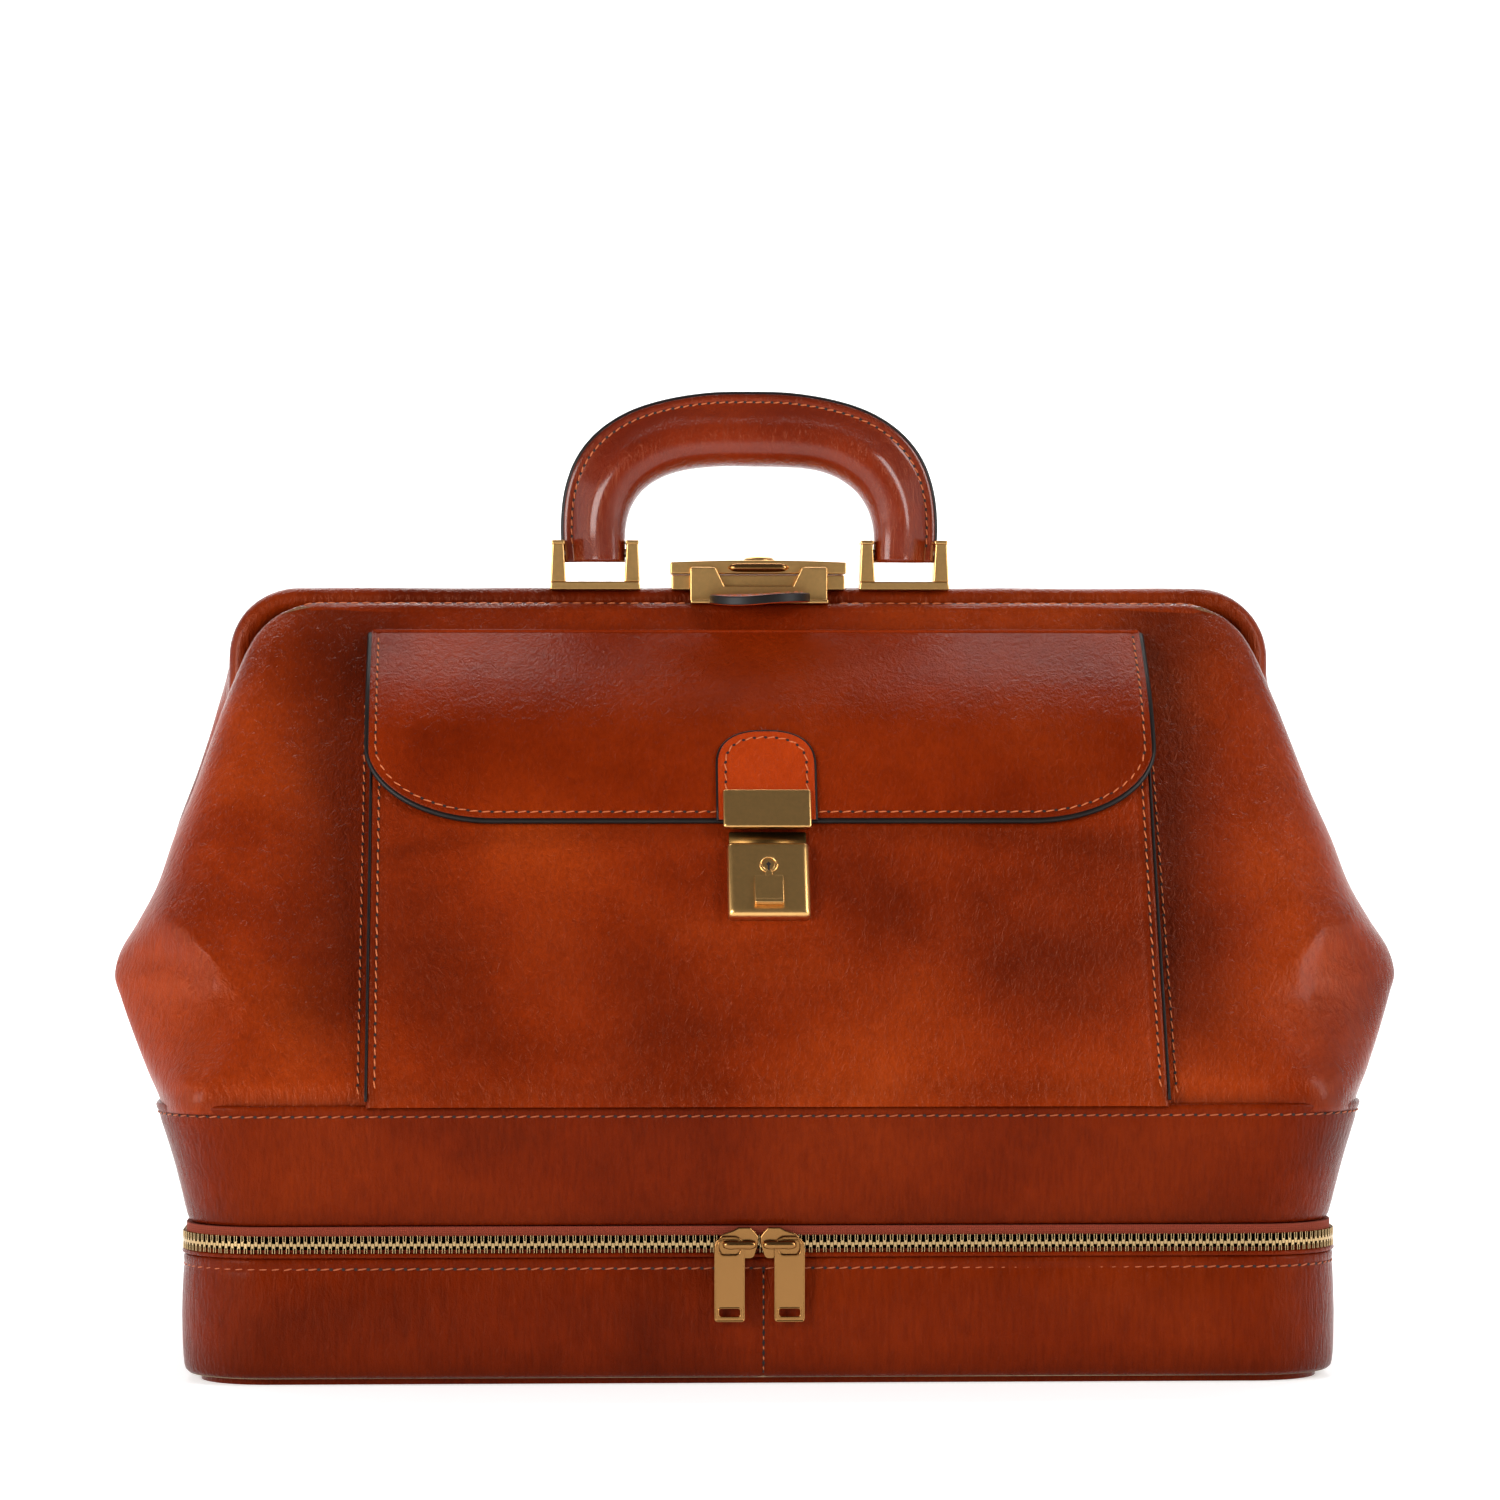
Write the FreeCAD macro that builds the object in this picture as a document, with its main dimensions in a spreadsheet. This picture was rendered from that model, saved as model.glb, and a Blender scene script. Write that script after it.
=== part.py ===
"""Doctor bag with a hinged mouth frame, a front pocket and a zipped lower compartment.

Millimetres. +Z is up, the front faces -Y, +X is to the right as seen from the front.
The origin is the centre of the flat underside.
"""
import FreeCAD, Part
import math
import os

import Sketcher

from FreeCAD import Placement, Rotation, Vector

X_AXIS = Vector(1, 0, 0)
Y_AXIS = Vector(0, 1, 0)
Z_AXIS = Vector(0, 0, 1)
ORIGIN = Vector(0, 0, 0)

# Driving dimensions. Each one is a cell of the spreadsheet, under the same name.
SIZES = {
    # lower compartment
    "base_width": 397.0,
    "base_depth": 240.0,
    "base_radius": 30.0,
    "leather": 1.8,
    "board": 1.2,
    "lining": 0.8,
    "sole": 2.4,
    "piping_inset": 6.0,
    "piping_ring": 4.0,
    "floor_board": 2.5,
    "wall_top": 43.5,
    "welt": 1.6,
    "welt_proud": 0.5,
    # zip
    "tape_rise": 1.1,
    "tape": 0.8,
    "tooth_rise": 1.9,
    "tooth_gap": 0.8,
    "tooth_depth": 2.8,
    "zip_end": 170.0,
    "slider_meet": -1.5,
    "slider_width": 14.0,
    "slider_height": 10.8,
    "slider_plate": 1.8,
    "crown_length": 11.2,
    "crown_height": 3.2,
    "pull_width": 9.8,
    "pull_length": 28.5,
    "pull_plate": 1.6,
    "pull_shift": 3.0,
    # waist band
    "band_bottom": 54.0,
    "band_top": 95.0,
    "band_bottom_width": 392.0,
    "band_bottom_depth": 236.0,
    "band_top_width": 416.0,
    "band_top_depth": 248.0,
    # slanting sides
    "side_foot": 97.0,
    "side_lean": 33.3,
    "side_width": 340.0,
    "side_length": 197.0,
    # front pocket
    "pocket_shift": 1.5,
    "pocket_width": 273.0,
    "pocket_length": 150.0,
    "pocket_wedge": 4.2,
    "flap_width": 276.0,
    "flap_radius": 30.0,
    "lock_shift": 3.0,
    "hasp_width": 30.6,
    "hasp_length": 16.0,
    "tongue_width": 34.0,
    "tongue_length": 34.4,
    "pocket_lock_width": 28.4,
    "pocket_lock_length": 32.4,
    "pocket_lock_depth": 6.0,
    "cylinder_radius": 3.0,
    "thumb_width": 10.0,
    "thumb_length": 11.4,
    # mouth frame
    "front_jaw_y": -9.0,
    "front_jaw_z": 264.5,
    "front_jaw_half": 175.0,
    "front_jaw_corner": 20.0,
    "rear_jaw_y": 7.0,
    "rear_jaw_z": 270.5,
    "rear_jaw_half": 184.0,
    "rear_jaw_corner": 21.0,
    "jaw_cover_radius": 4.0,
    "jaw_rod_radius": 2.2,
    "jaw_cover_foot": 233.0,
    "frame_pin_z": 200.0,
    "frame_pin_radius": 1.6,
    # top lock
    "seat": 273.9,
    "case_width": 63.6,
    "case_depth": 18.0,
    "case_height": 10.8,
    "button_width": 22.0,
    "button_depth": 11.0,
    "strike_width": 49.6,
    "tab_width": 36.0,
    "tab_reach": 13.0,
    # handle
    "bracket_centre": 56.0,
    "bracket_width": 31.6,
    "bracket_depth": 14.0,
    "bracket_foot": 3.3,
    "bracket_post": 4.5,
    "bracket_height": 18.0,
    "handle_pin_z": 287.5,
    "handle_pin_radius": 1.5,
    "grip_radius": 9.3,
    "grip_height": 328.3,
    "grip_half": 54.5,
    "grip_corner": 32.0,
    "flange_half": 66.9,
    "flange_height": 345.4,
    "flange_corner": 46.0,
    "flange": 3.2,
}

doc = FreeCAD.newDocument("DoctorBag")
sheet = doc.addObject("Spreadsheet::Sheet", "Sizes")
for row, (name, size) in enumerate(SIZES.items(), start=1):
    sheet.set(f"A{row}", name)
    sheet.set(f"B{row}", str(size))
    sheet.setAlias(f"B{row}", name)
doc.recompute()

nodes = {}


class Dim:
    """A length that carries its value together with its spreadsheet expression."""

    def __init__(self, value, text):
        self.value = float(value)
        self.text = text

    def _with(self, other, mark, value):
        text = other.text if isinstance(other, Dim) else str(other)
        return Dim(value, f"({self.text} {mark} {text})")

    def __add__(self, other):
        return self._with(other, "+", self.value + number(other))

    def __sub__(self, other):
        return self._with(other, "-", self.value - number(other))

    def __mul__(self, other):
        return self._with(other, "*", self.value * number(other))

    def __truediv__(self, other):
        return self._with(other, "/", self.value / number(other))


def number(size):
    """The plain value of a Dim or of a number."""
    return size.value if isinstance(size, Dim) else float(size)


def dim(alias):
    """One cell of the spreadsheet."""
    return Dim(sheet.get(alias), f"Sizes.{alias}")


def fixed(value):
    """A plain number where a Dim is expected."""
    return Dim(value, str(float(value)))


def bind(thing, prop, size):
    """Set a property from a Dim, and keep it bound to the spreadsheet."""
    if isinstance(size, Dim):
        thing.setExpression(prop, size.text)
    else:
        setattr(thing, prop, size)


def at(x=0.0, y=0.0, z=0.0, turn=None):
    """A placement at a point, with an optional rotation."""
    place = Vector(number(x), number(y), number(z))
    return Placement(place, turn or Rotation())


WORLD = at()


def publish(thing, label):
    """Name an object as one of the bag's sub-parts."""
    thing.Label = label
    nodes[label] = thing
    return thing


def box(name, size, centre, frame=WORLD):
    """A Part::Box of size (x, y, z), centred in x and y, standing on the point centre."""
    solid = doc.addObject("Part::Box", name)
    for prop, length in zip(("Length", "Width", "Height"), size):
        bind(solid, prop, length)
    x, y, z = (number(value) for value in centre)
    corner = at(x - number(size[0]) / 2, y - number(size[1]) / 2, z)
    solid.Placement = frame.multiply(corner)
    return solid


def rod(name, radius, length, centre, axis, frame=WORLD):
    """A Part::Cylinder centred on a point, along an axis."""
    solid = doc.addObject("Part::Cylinder", name)
    bind(solid, "Radius", radius)
    bind(solid, "Height", length)
    turn = Rotation(Z_AXIS, axis)
    middle = at(*centre, turn=turn)
    solid.Placement = frame.multiply(middle).multiply(at(z=-number(length) / 2))
    return solid


def cut(name, base, *tools):
    """Cut the tools from the base, one Part::Cut each."""
    for index, tool in enumerate(tools):
        result = doc.addObject("Part::Cut", f"{name}_cut{index}")
        result.Base = base
        result.Tool = tool
        base = result
    return base


def fuse(name, *solids):
    """Join solids into one."""
    result = doc.addObject("Part::MultiFuse", f"{name}_fuse")
    result.Shapes = list(solids)
    return result


def common(name, first, second):
    """Keep what two solids share."""
    result = doc.addObject("Part::MultiCommon", f"{name}_common")
    result.Shapes = [first, second]
    return result


def shaped(name, shape):
    """A Part::Feature for a swept or lofted piece that no primitive fits."""
    feature = doc.addObject("Part::Feature", name)
    feature.Shape = shape
    return feature


def origin_plane(body, role):
    """One of a body's own origin planes."""
    return next(item for item in body.Origin.OriginFeatures if item.Role == role)


def rounded_rectangle(sketch, width, height, low_radius, top_radius, tag=""):
    """Draw a fully constrained rectangle with rounded corners, centred on the origin."""
    half_w, half_h = number(width) / 2, number(height) / 2
    low, top = number(low_radius), number(top_radius)
    quarter = math.pi / 2
    first = sketch.GeometryCount

    def line(x1, y1, x2, y2):
        return sketch.addGeometry(Part.LineSegment(Vector(x1, y1, 0), Vector(x2, y2, 0)), False)

    def arc(x, y, radius, start):
        circle = Part.Circle(Vector(x, y, 0), Z_AXIS, radius)
        return sketch.addGeometry(Part.ArcOfCircle(circle, start, start + quarter), False)

    line(-half_w + low, -half_h, half_w - low, -half_h)
    arc(half_w - low, -half_h + low, low, -quarter)
    line(half_w, -half_h + low, half_w, half_h - top)
    arc(half_w - top, half_h - top, top, 0)
    line(half_w - top, half_h, -half_w + top, half_h)
    arc(-half_w + top, half_h - top, top, quarter)
    line(-half_w, half_h - top, -half_w, -half_h + low)
    arc(-half_w + low, -half_h + low, low, 2 * quarter)
    bottom, right, ceiling, left = first, first + 2, first + 4, first + 6
    rule = Sketcher.Constraint
    for step in range(8):
        following = first + (step + 1) % 8
        sketch.addConstraint(rule("Tangent", first + step, 2, following, 1))
    sketch.addConstraint(rule("Horizontal", bottom))
    sketch.addConstraint(rule("Horizontal", ceiling))
    sketch.addConstraint(rule("Vertical", left))
    sketch.addConstraint(rule("Vertical", right))
    sketch.addConstraint(rule("Equal", first + 1, first + 7))
    sketch.addConstraint(rule("Equal", first + 3, first + 5))
    named = [
        ("half_right", rule("DistanceX", -1, 1, right, 1, half_w), width / 2),
        ("half_left", rule("DistanceX", left, 1, -1, 1, half_w), width / 2),
        ("half_top", rule("DistanceY", -1, 1, ceiling, 1, half_h), height / 2),
        ("half_bottom", rule("DistanceY", bottom, 1, -1, 1, half_h), height / 2),
        ("low_radius", rule("Radius", first + 1, low), low_radius),
        ("top_radius", rule("Radius", first + 3, top), top_radius),
    ]
    for name, constraint, size in named:
        index = sketch.addConstraint(constraint)
        sketch.renameConstraint(index, name + tag)
        if isinstance(size, Dim):
            sketch.setExpression(f"Constraints.{name}{tag}", size.text)


def plate(name, width, height, thickness, radius, frame=WORLD, top_radius=None, hole=None):
    """A padded rounded rectangle in the frame's XY plane; hole is (width, height, radius)."""
    body = doc.addObject("PartDesign::Body", name)
    sketch = body.newObject("Sketcher::SketchObject", f"{name}_outline")
    sketch.AttachmentSupport = [(origin_plane(body, "XY_Plane"), "")]
    sketch.MapMode = "FlatFace"
    rounded_rectangle(sketch, width, height, radius, top_radius or radius)
    if hole:
        rounded_rectangle(sketch, hole[0], hole[1], hole[2], hole[2], tag="_in")
    pad = body.newObject("PartDesign::Pad", f"{name}_pad")
    pad.Profile = sketch
    bind(pad, "Length", thickness)
    body.Tip = pad
    body.Placement = frame
    return body


def ring(name, width, depth, radius, thickness, low, high):
    """A rounded rectangular ring between two heights."""
    hole = (width - thickness * 2, depth - thickness * 2, radius - thickness)
    return plate(name, width, depth, high - low, radius, at(z=low), hole=hole)


def prism(name, corners, x_from, x_to, frame=WORLD):
    """A solid whose YZ profile runs between two x planes of a frame."""
    outline = [Vector(number(x_from), number(y), number(z)) for y, z in corners]
    face = Part.Face(Part.makePolygon(outline + outline[:1]))
    solid = face.extrude(Vector(number(x_to) - number(x_from), 0, 0))
    solid.Placement = frame
    return shaped(name, solid)


# ---------------------------------------------------------------- lower compartment

leather, board, lining = dim("leather"), dim("board"), dim("lining")
base_width, base_depth, base_radius = dim("base_width"), dim("base_depth"), dim("base_radius")
sole, wall_top, welt = dim("sole"), dim("wall_top"), dim("welt")
tray_floor = sole + dim("floor_board")
welt_top = wall_top + welt
HALF_SPACE = 600.0


def build_lower_compartment():
    """Tray leathers, boards and lining."""
    inset = dim("piping_inset") * 2
    piping = dim("piping_ring")
    piping_width, piping_depth = base_width - inset, base_depth - inset
    piping_radius = base_radius - dim("piping_inset")
    publish(ring("piping", piping_width, piping_depth, piping_radius, piping, fixed(0), sole),
            "bottom_piping")
    publish(plate("bottom", piping_width - piping * 2, piping_depth - piping * 2, sole,
                  piping_radius - piping), "base_bottom_leather")
    inner_width, inner_depth = base_width - leather * 2, base_depth - leather * 2
    inner_radius = base_radius - leather
    publish(plate("tray_board", inner_width, inner_depth, dim("floor_board"), inner_radius,
                  at(z=sole)), "base_board")
    for side, sign in (("left", -1), ("right", 1)):
        wall = ring(f"wall_{side}", base_width, base_depth, base_radius, leather, sole, wall_top)
        half = box(f"half_{side}", (HALF_SPACE, HALF_SPACE, 100.0), (sign * HALF_SPACE / 2, 0, 0))
        publish(common(f"wall_{side}", wall, half), f"base_wall_{side}")
    publish(ring("tray_stiff", inner_width, inner_depth, inner_radius, board, tray_floor, wall_top),
            "base_wall_stiffener")
    tub_width, tub_depth = inner_width - board * 2, inner_depth - board * 2
    tub_radius = inner_radius - board
    tub = plate("tub", tub_width, tub_depth, wall_top - tray_floor, tub_radius, at(z=tray_floor))
    hollow = plate("tub_hollow", tub_width - lining * 2, tub_depth - lining * 2,
                   wall_top - tray_floor, tub_radius - lining, at(z=tray_floor + lining))
    publish(cut("tub", tub, hollow), "base_lining")
    proud = dim("welt_proud")
    publish(ring("welt_ring", base_width + proud * 2, base_depth + proud * 2, base_radius + proud,
                 leather + board + proud, wall_top, welt_top), "base_top_welt")


# ---------------------------------------------------------------- zip

TEETH_FACE = 0.2        # how far the teeth stand out past the wall
TAPE_BEHIND = 1.0       # the tape runs this far behind the teeth's front
low_tape_top = welt_top + dim("tape_rise")
low_teeth_top = low_tape_top + dim("tooth_rise")
high_teeth_low = low_teeth_top + dim("tooth_gap")
high_teeth_top = high_teeth_low + dim("tooth_rise")


def zip_run(name, label, inset, thickness, low, high):
    """One row that runs round the front and both sides, and stops behind the rear corners."""
    shrink = inset * 2
    full = ring(name, base_width - shrink, base_depth - shrink, base_radius - inset, thickness,
                low, high)
    rear = box(f"{name}_rear", (dim("zip_end") * 2, 60.0, 60.0), (0, base_depth / 2, 20.0))
    publish(cut(name, full, rear), label)


def build_zip_rows():
    """Tapes and rows of teeth on both sides of the zip."""
    zip_run("tape_low", "zip_tape_lower", TAPE_BEHIND, dim("tape"), welt_top, low_tape_top)
    zip_run("teeth_low", "zip_teeth_lower", -TEETH_FACE, dim("tooth_depth"), low_tape_top,
            low_teeth_top)
    zip_run("teeth_high", "zip_teeth_upper", -TEETH_FACE, dim("tooth_depth"), high_teeth_low,
            high_teeth_top)
    full = ring("tape_high", base_width - TAPE_BEHIND * 2, base_depth - TAPE_BEHIND * 2,
                base_radius - TAPE_BEHIND, leather, high_teeth_top, dim("band_bottom"))
    rear = box("tape_high_rear", (dim("zip_end") * 2, 60.0, 60.0), (0, base_depth / 2, 20.0))
    publish(cut("tape_high", full, rear), "zip_tape_upper")


PLATE_GAP = 0.8         # between the slider's front plate and the wall's face
BACK_PLATE = 1.2
BACK_HEIGHT = 7.6
BACK_CLEAR = 0.6        # between the teeth and the slider's back plate
POST = (3.0, 0.5)       # the slider's nose between the rows: along the zip, and upright
STEM_RADIUS = 1.5
CROWN = 1.6
PULL_GAP = 0.4
PULL_CORNER = 1.6
PULL_EYE = (6.0, 5.6)   # window that the stem passes through: across, and along the pull
PULL_SLOT = (6.6, 3.2)
SLIDER_AXIS = 48.5
PULL_AXIS = 48.0


def build_slider(side, sign):
    """A slider that wraps both rows, with a crown stud that holds its pull."""
    width, height, front = dim("slider_width"), dim("slider_height"), dim("slider_plate")
    centre = number(dim("slider_meet")) + sign * (number(width) / 2 + 0.2)
    face = -number(base_depth) / 2 - PLATE_GAP
    front_centre = face - number(front) / 2
    shell = box(f"slider_{side}_front", (width, front, height),
                (centre, front_centre, SLIDER_AXIS - number(height) / 2))
    back_y = -number(base_depth) / 2 + number(dim("tooth_depth")) - TEETH_FACE + BACK_CLEAR
    back = box(f"slider_{side}_back", (width, BACK_PLATE, BACK_HEIGHT),
               (centre, back_y + BACK_PLATE / 2, number(welt_top) + 0.5))
    post_long, post_tall = POST
    post_x = centre - sign * (number(width) - post_long) / 2
    post_y = (face + back_y) / 2
    post = box(f"slider_{side}_post", (post_long, back_y - face + 0.4, post_tall),
               (post_x, post_y, SLIDER_AXIS - post_tall / 2))
    crown_y = face - number(front)
    stem_x = centre + sign * number(dim("pull_shift"))
    stem_length = number(dim("pull_plate")) + 2 * PULL_GAP + 1.0
    stem = rod(f"slider_{side}_stem", STEM_RADIUS, stem_length,
               (stem_x, crown_y - stem_length / 2 + 0.5, PULL_AXIS), Y_AXIS)
    head = box(f"slider_{side}_crown", (dim("crown_length"), CROWN, dim("crown_height")),
               (centre, crown_y - stem_length + 1.0 - CROWN / 2 + 0.01,
                PULL_AXIS - number(dim("crown_height")) / 2))
    publish(fuse(f"slider_{side}", shell, back, post, stem, head), f"slider_{side}")
    pull_frame = at(stem_x, crown_y - PULL_GAP, PULL_AXIS, Rotation(X_AXIS, 90))
    length = dim("pull_length")
    drop = number(length) / 2 - 2.6
    tab = plate(f"pull_{side}_plate", dim("pull_width"), length, dim("pull_plate"), fixed(PULL_CORNER),
                pull_frame.multiply(at(y=-drop)))
    eye = box(f"pull_{side}_eye", (*PULL_EYE, 10.0), (0, -1.2, -5.0), pull_frame)
    slot = box(f"pull_{side}_slot", (*PULL_SLOT, 10.0), (0, 5.2 - number(length), -5.0), pull_frame)
    publish(cut(f"pull_{side}", tab, eye, slot), f"pull_{side}")


# ---------------------------------------------------------------- waist band and floor


def rounded_wire(width, depth, radius, height):
    """A horizontal rounded rectangle as a wire."""
    bend = radius * (1 - math.sin(math.pi / 4))
    edges = []
    for turn in range(4):
        half_x, half_y = (width / 2, depth / 2) if turn % 2 == 0 else (depth / 2, width / 2)
        side = Part.LineSegment(Vector(-half_x + radius, -half_y, 0), Vector(half_x - radius, -half_y, 0))
        corner = Part.Arc(Vector(half_x - radius, -half_y, 0), Vector(half_x - bend, -half_y + bend, 0),
                          Vector(half_x, -half_y + radius, 0))
        for curve in (side, corner):
            edge = curve.toShape()
            edge.Placement = at(z=height, turn=Rotation(Z_AXIS, 90 * turn))
            edges.append(edge)
    return Part.Wire(edges)


def flared_ring(name, label, inset, thickness, low, high):
    """A ring whose plan grows from the zip line up to the waist seam."""
    bottom, top = number(dim("band_bottom")), number(dim("band_top"))

    def wire(height, shrink):
        share = (height - bottom) / (top - bottom)
        width = number(dim("band_bottom_width")) * (1 - share) + number(dim("band_top_width")) * share
        depth = number(dim("band_bottom_depth")) * (1 - share) + number(dim("band_top_depth")) * share
        radius = number(base_radius) + 6 * share
        return rounded_wire(width - 2 * shrink, depth - 2 * shrink, radius - shrink, height)

    outer = Part.makeLoft([wire(low, inset), wire(high, inset)], True, True)
    inner = Part.makeLoft([wire(low, inset + thickness), wire(high, inset + thickness)], True, True)
    publish(shaped(name, outer.cut(inner)), label)


HINGE_THICK = 1.4
HINGE_HEIGHT = 20.5
HINGE_FOOT = 36.0
HINGE_OFF = 1.3         # from the wall's face to the middle of the hinge leather


def build_waist():
    """Band, its board and lining, and the floor between the two compartments."""
    low, high = number(dim("band_bottom")), number(dim("band_top"))
    skin, stiff, cloth = number(leather), number(board), number(lining)
    flared_ring("band", "waist_band", 0.0, skin, low, high)
    flared_ring("band_board", "waist_stiffener", skin, stiff, low, high)
    floor_low = low + 0.5
    floor_high = floor_low + number(dim("floor_board"))
    flared_ring("band_lining", "waist_lining", skin + stiff, cloth, floor_high + cloth, high)
    shrink = (leather + board) * 2 + 0.6
    width, depth = dim("band_bottom_width") - shrink, dim("band_bottom_depth") - shrink
    radius = base_radius - leather - board
    publish(plate("divider", width, depth, dim("floor_board"), radius, at(z=floor_low)), "floor_board")
    publish(plate("divider_cloth", width - 0.6, depth - 0.6, lining, radius, at(z=floor_high)),
            "floor_lining")
    strip = box("strip", (dim("zip_end") * 2 - 6.0, HINGE_THICK, HINGE_HEIGHT),
                (0, number(base_depth) / 2 + HINGE_OFF, HINGE_FOOT))
    publish(strip, "rear_hinge_strip")


# ---------------------------------------------------------------- slanting sides

lean = number(dim("side_lean"))
foot_y = number(dim("band_top_depth")) / 2
foot_z = number(dim("side_foot"))
front_side = at(0, -foot_y, foot_z, Rotation(X_AXIS, 90 - lean))
rear_side = Placement(ORIGIN, Rotation(Z_AXIS, 180)).multiply(front_side)
HEM = 1.0               # clear of the waist seam
BOARD_MARGIN = 24.0
LINING_MARGIN = 4.0


def build_side(label, frame):
    """One slanting side: leather outside, a board and a lining behind it."""
    width, length = dim("side_width"), dim("side_length")
    middle = HEM + number(length) / 2
    layers = (("panel", leather, width, length),
              ("board", board, width - BOARD_MARGIN, length - BOARD_MARGIN),
              ("lining", lining, width - LINING_MARGIN, length - LINING_MARGIN))
    depth = 0.0
    for layer, thickness, wide, long in layers:
        depth += number(thickness)
        where = frame.multiply(at(0, middle, -depth))
        publish(plate(f"{label}_{layer}_plate", wide, long, thickness, fixed(4.0), where),
                f"{label}_{layer}")


RIDGES = (
    # height, ridge half-width, ridge distance behind the side's face, valley half-width
    (97.5, 207.0, 24.0, 205.0),
    (145.0, 224.0, 30.0, 190.0),
    (200.0, 199.0, 20.0, 156.0),
    (229.0, 189.0, 14.0, 150.0),
)
GUSSET_START = 172.0
GUSSET_TUCK = 8.0       # the fold turns this far before the ridge


def mirrored(half):
    """A run of points from the front to the valley, continued to the rear."""
    return [(x, -y) for x, y in half] + list(reversed(half[:-1]))


def gusset_outline(sign, height, ridge, behind, valley):
    """The plan of one folded gusset at a height, as a thin closed polygon."""
    skin = number(leather)
    face = foot_y - (height - foot_z) * math.tan(math.radians(lean))
    inner = face - skin - 3.0
    fold = 1.5 * skin
    outer = [(GUSSET_START, inner), (ridge - GUSSET_TUCK, inner), (ridge, face - behind), (valley, 0.0)]
    inside = [(GUSSET_START, inner - skin), (ridge - GUSSET_TUCK - skin / 2, inner - skin),
              (ridge - fold, face - behind), (valley - fold, 0.0)]
    loop = mirrored(outer) + mirrored(inside)[::-1]
    points = [Vector(sign * x, y, height) for x, y in loop]
    return Part.makePolygon(points + points[:1])


def build_gussets():
    """Both folded side gussets, as ruled lofts through four heights."""
    for side, sign in (("left", -1), ("right", 1)):
        wires = [gusset_outline(sign, *ridge) for ridge in RIDGES]
        publish(shaped(f"gusset_{side}_loft", Part.makeLoft(wires, True, True)), f"gusset_{side}")


# ---------------------------------------------------------------- front pocket

POCKET_FOOT = 2.0
POCKET_OFF = 0.8
pocket_x = number(dim("pocket_shift"))
lock_x = number(dim("lock_shift"))
wedge = number(dim("pocket_wedge"))
pocket_side = front_side.multiply(at(0, POCKET_FOOT, POCKET_OFF, Rotation(X_AXIS, wedge)))
pocket_length = number(dim("pocket_length"))
pocket_face = number(leather)


def on_side(y, z):
    """A point of the pocket's own plane, as (up the side, off the side)."""
    turn = math.radians(wedge)
    up = POCKET_FOOT + y * math.cos(turn) - z * math.sin(turn)
    off = POCKET_OFF + y * math.sin(turn) + z * math.cos(turn)
    return up, off


FLAP_PIVOT = (189.5, 1.6)       # up the side, off the side
FLAP_THICK = 2.3
FLAP_CLEAR = 0.6
RIVET_HEAD = 0.4                # on the flap's inner face
RIVET_RADIUS = 2.2
RIVET_OFFSET = 7.0
POCKET_WALL = 1.4
TONGUE_CORNER = 12.0
HASP_PLATE = 2.0
FLAP_END = 103.5                # along the pocket's face


def build_pocket():
    """The pocket's front and its two wedge-shaped end walls."""
    middle = at(pocket_x, pocket_length / 2, 0)
    publish(plate("pocket_plate", dim("pocket_width"), dim("pocket_length"), leather,
                  fixed(2.0), pocket_side.multiply(middle)), "pocket_front")
    top_up, top_off = on_side(pocket_length - 2.0, 0.0)
    low_up, low_off = on_side(12.0, 0.0)
    outline = [(low_up, 0.0), (low_up, low_off), (top_up, top_off), (top_up, 0.0)]
    half = number(dim("pocket_width")) / 2
    for side, sign in (("left", -1), ("right", 1)):
        edge = pocket_x + sign * (half - 1.0)
        publish(prism(f"pocket_wall_{side}", outline, edge, edge - sign * POCKET_WALL,
                      front_side),
                f"pocket_gusset_{side}")


def flap_profile():
    """The flap's bent section: over the pocket's mouth, then down its face."""
    rest = pocket_face + FLAP_CLEAR
    knee = on_side(pocket_length + 3.0, rest)
    tip = on_side(FLAP_END, rest)
    knee_out = on_side(pocket_length + 3.0, rest + FLAP_THICK)
    tip_out = on_side(FLAP_END, rest + FLAP_THICK)
    up, off = FLAP_PIVOT
    return [(up, off - 1.0), knee, tip, tip_out, knee_out, (up, off + 1.3)]


def build_flap():
    """The pocket flap with its tongue, hasp plate and rivets."""
    half = number(dim("flap_width")) / 2
    bent = prism("flap_bent", flap_profile(), pocket_x - half, pocket_x + half, front_side)
    low = on_side(FLAP_END, pocket_face)[0] - 0.5
    length = FLAP_PIVOT[0] - low
    middle = front_side.multiply(at(pocket_x, low + length / 2, -5.0))
    slab = plate("flap_slab", dim("flap_width"), fixed(length + 1.0),
                 fixed(40.0), dim("flap_radius"), middle, top_radius=fixed(2.0))
    publish(common("flap", bent, slab), "flap")
    face = pocket_face + FLAP_CLEAR + FLAP_THICK
    tongue_mid = FLAP_END + number(dim("tongue_length")) / 2
    where = pocket_side.multiply(at(lock_x, tongue_mid, face))
    publish(plate("tongue_plate", dim("tongue_width"), dim("tongue_length"), leather,
                  fixed(2.0), where, top_radius=fixed(TONGUE_CORNER)), "flap_tongue")
    face += number(leather)
    hasp_mid = FLAP_END - 6.0 + number(dim("hasp_length")) / 2
    where = pocket_side.multiply(at(lock_x, hasp_mid, face))
    hasp = plate("hasp_plate", dim("hasp_width"), dim("hasp_length"), fixed(HASP_PLATE),
                 fixed(1.0), where)
    publish(hasp, "flap_hasp")
    inner_face = pocket_face + FLAP_CLEAR
    heads = [rod(f"hasp_rivet_{index}", RIVET_RADIUS, RIVET_HEAD,
                 (lock_x + offset, hasp_mid + 3.0, inner_face - RIVET_HEAD / 2), Z_AXIS, pocket_side)
             for index, offset in enumerate((-RIVET_OFFSET, RIVET_OFFSET))]
    publish(fuse("rivets", *heads), "flap_rivets")


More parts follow.
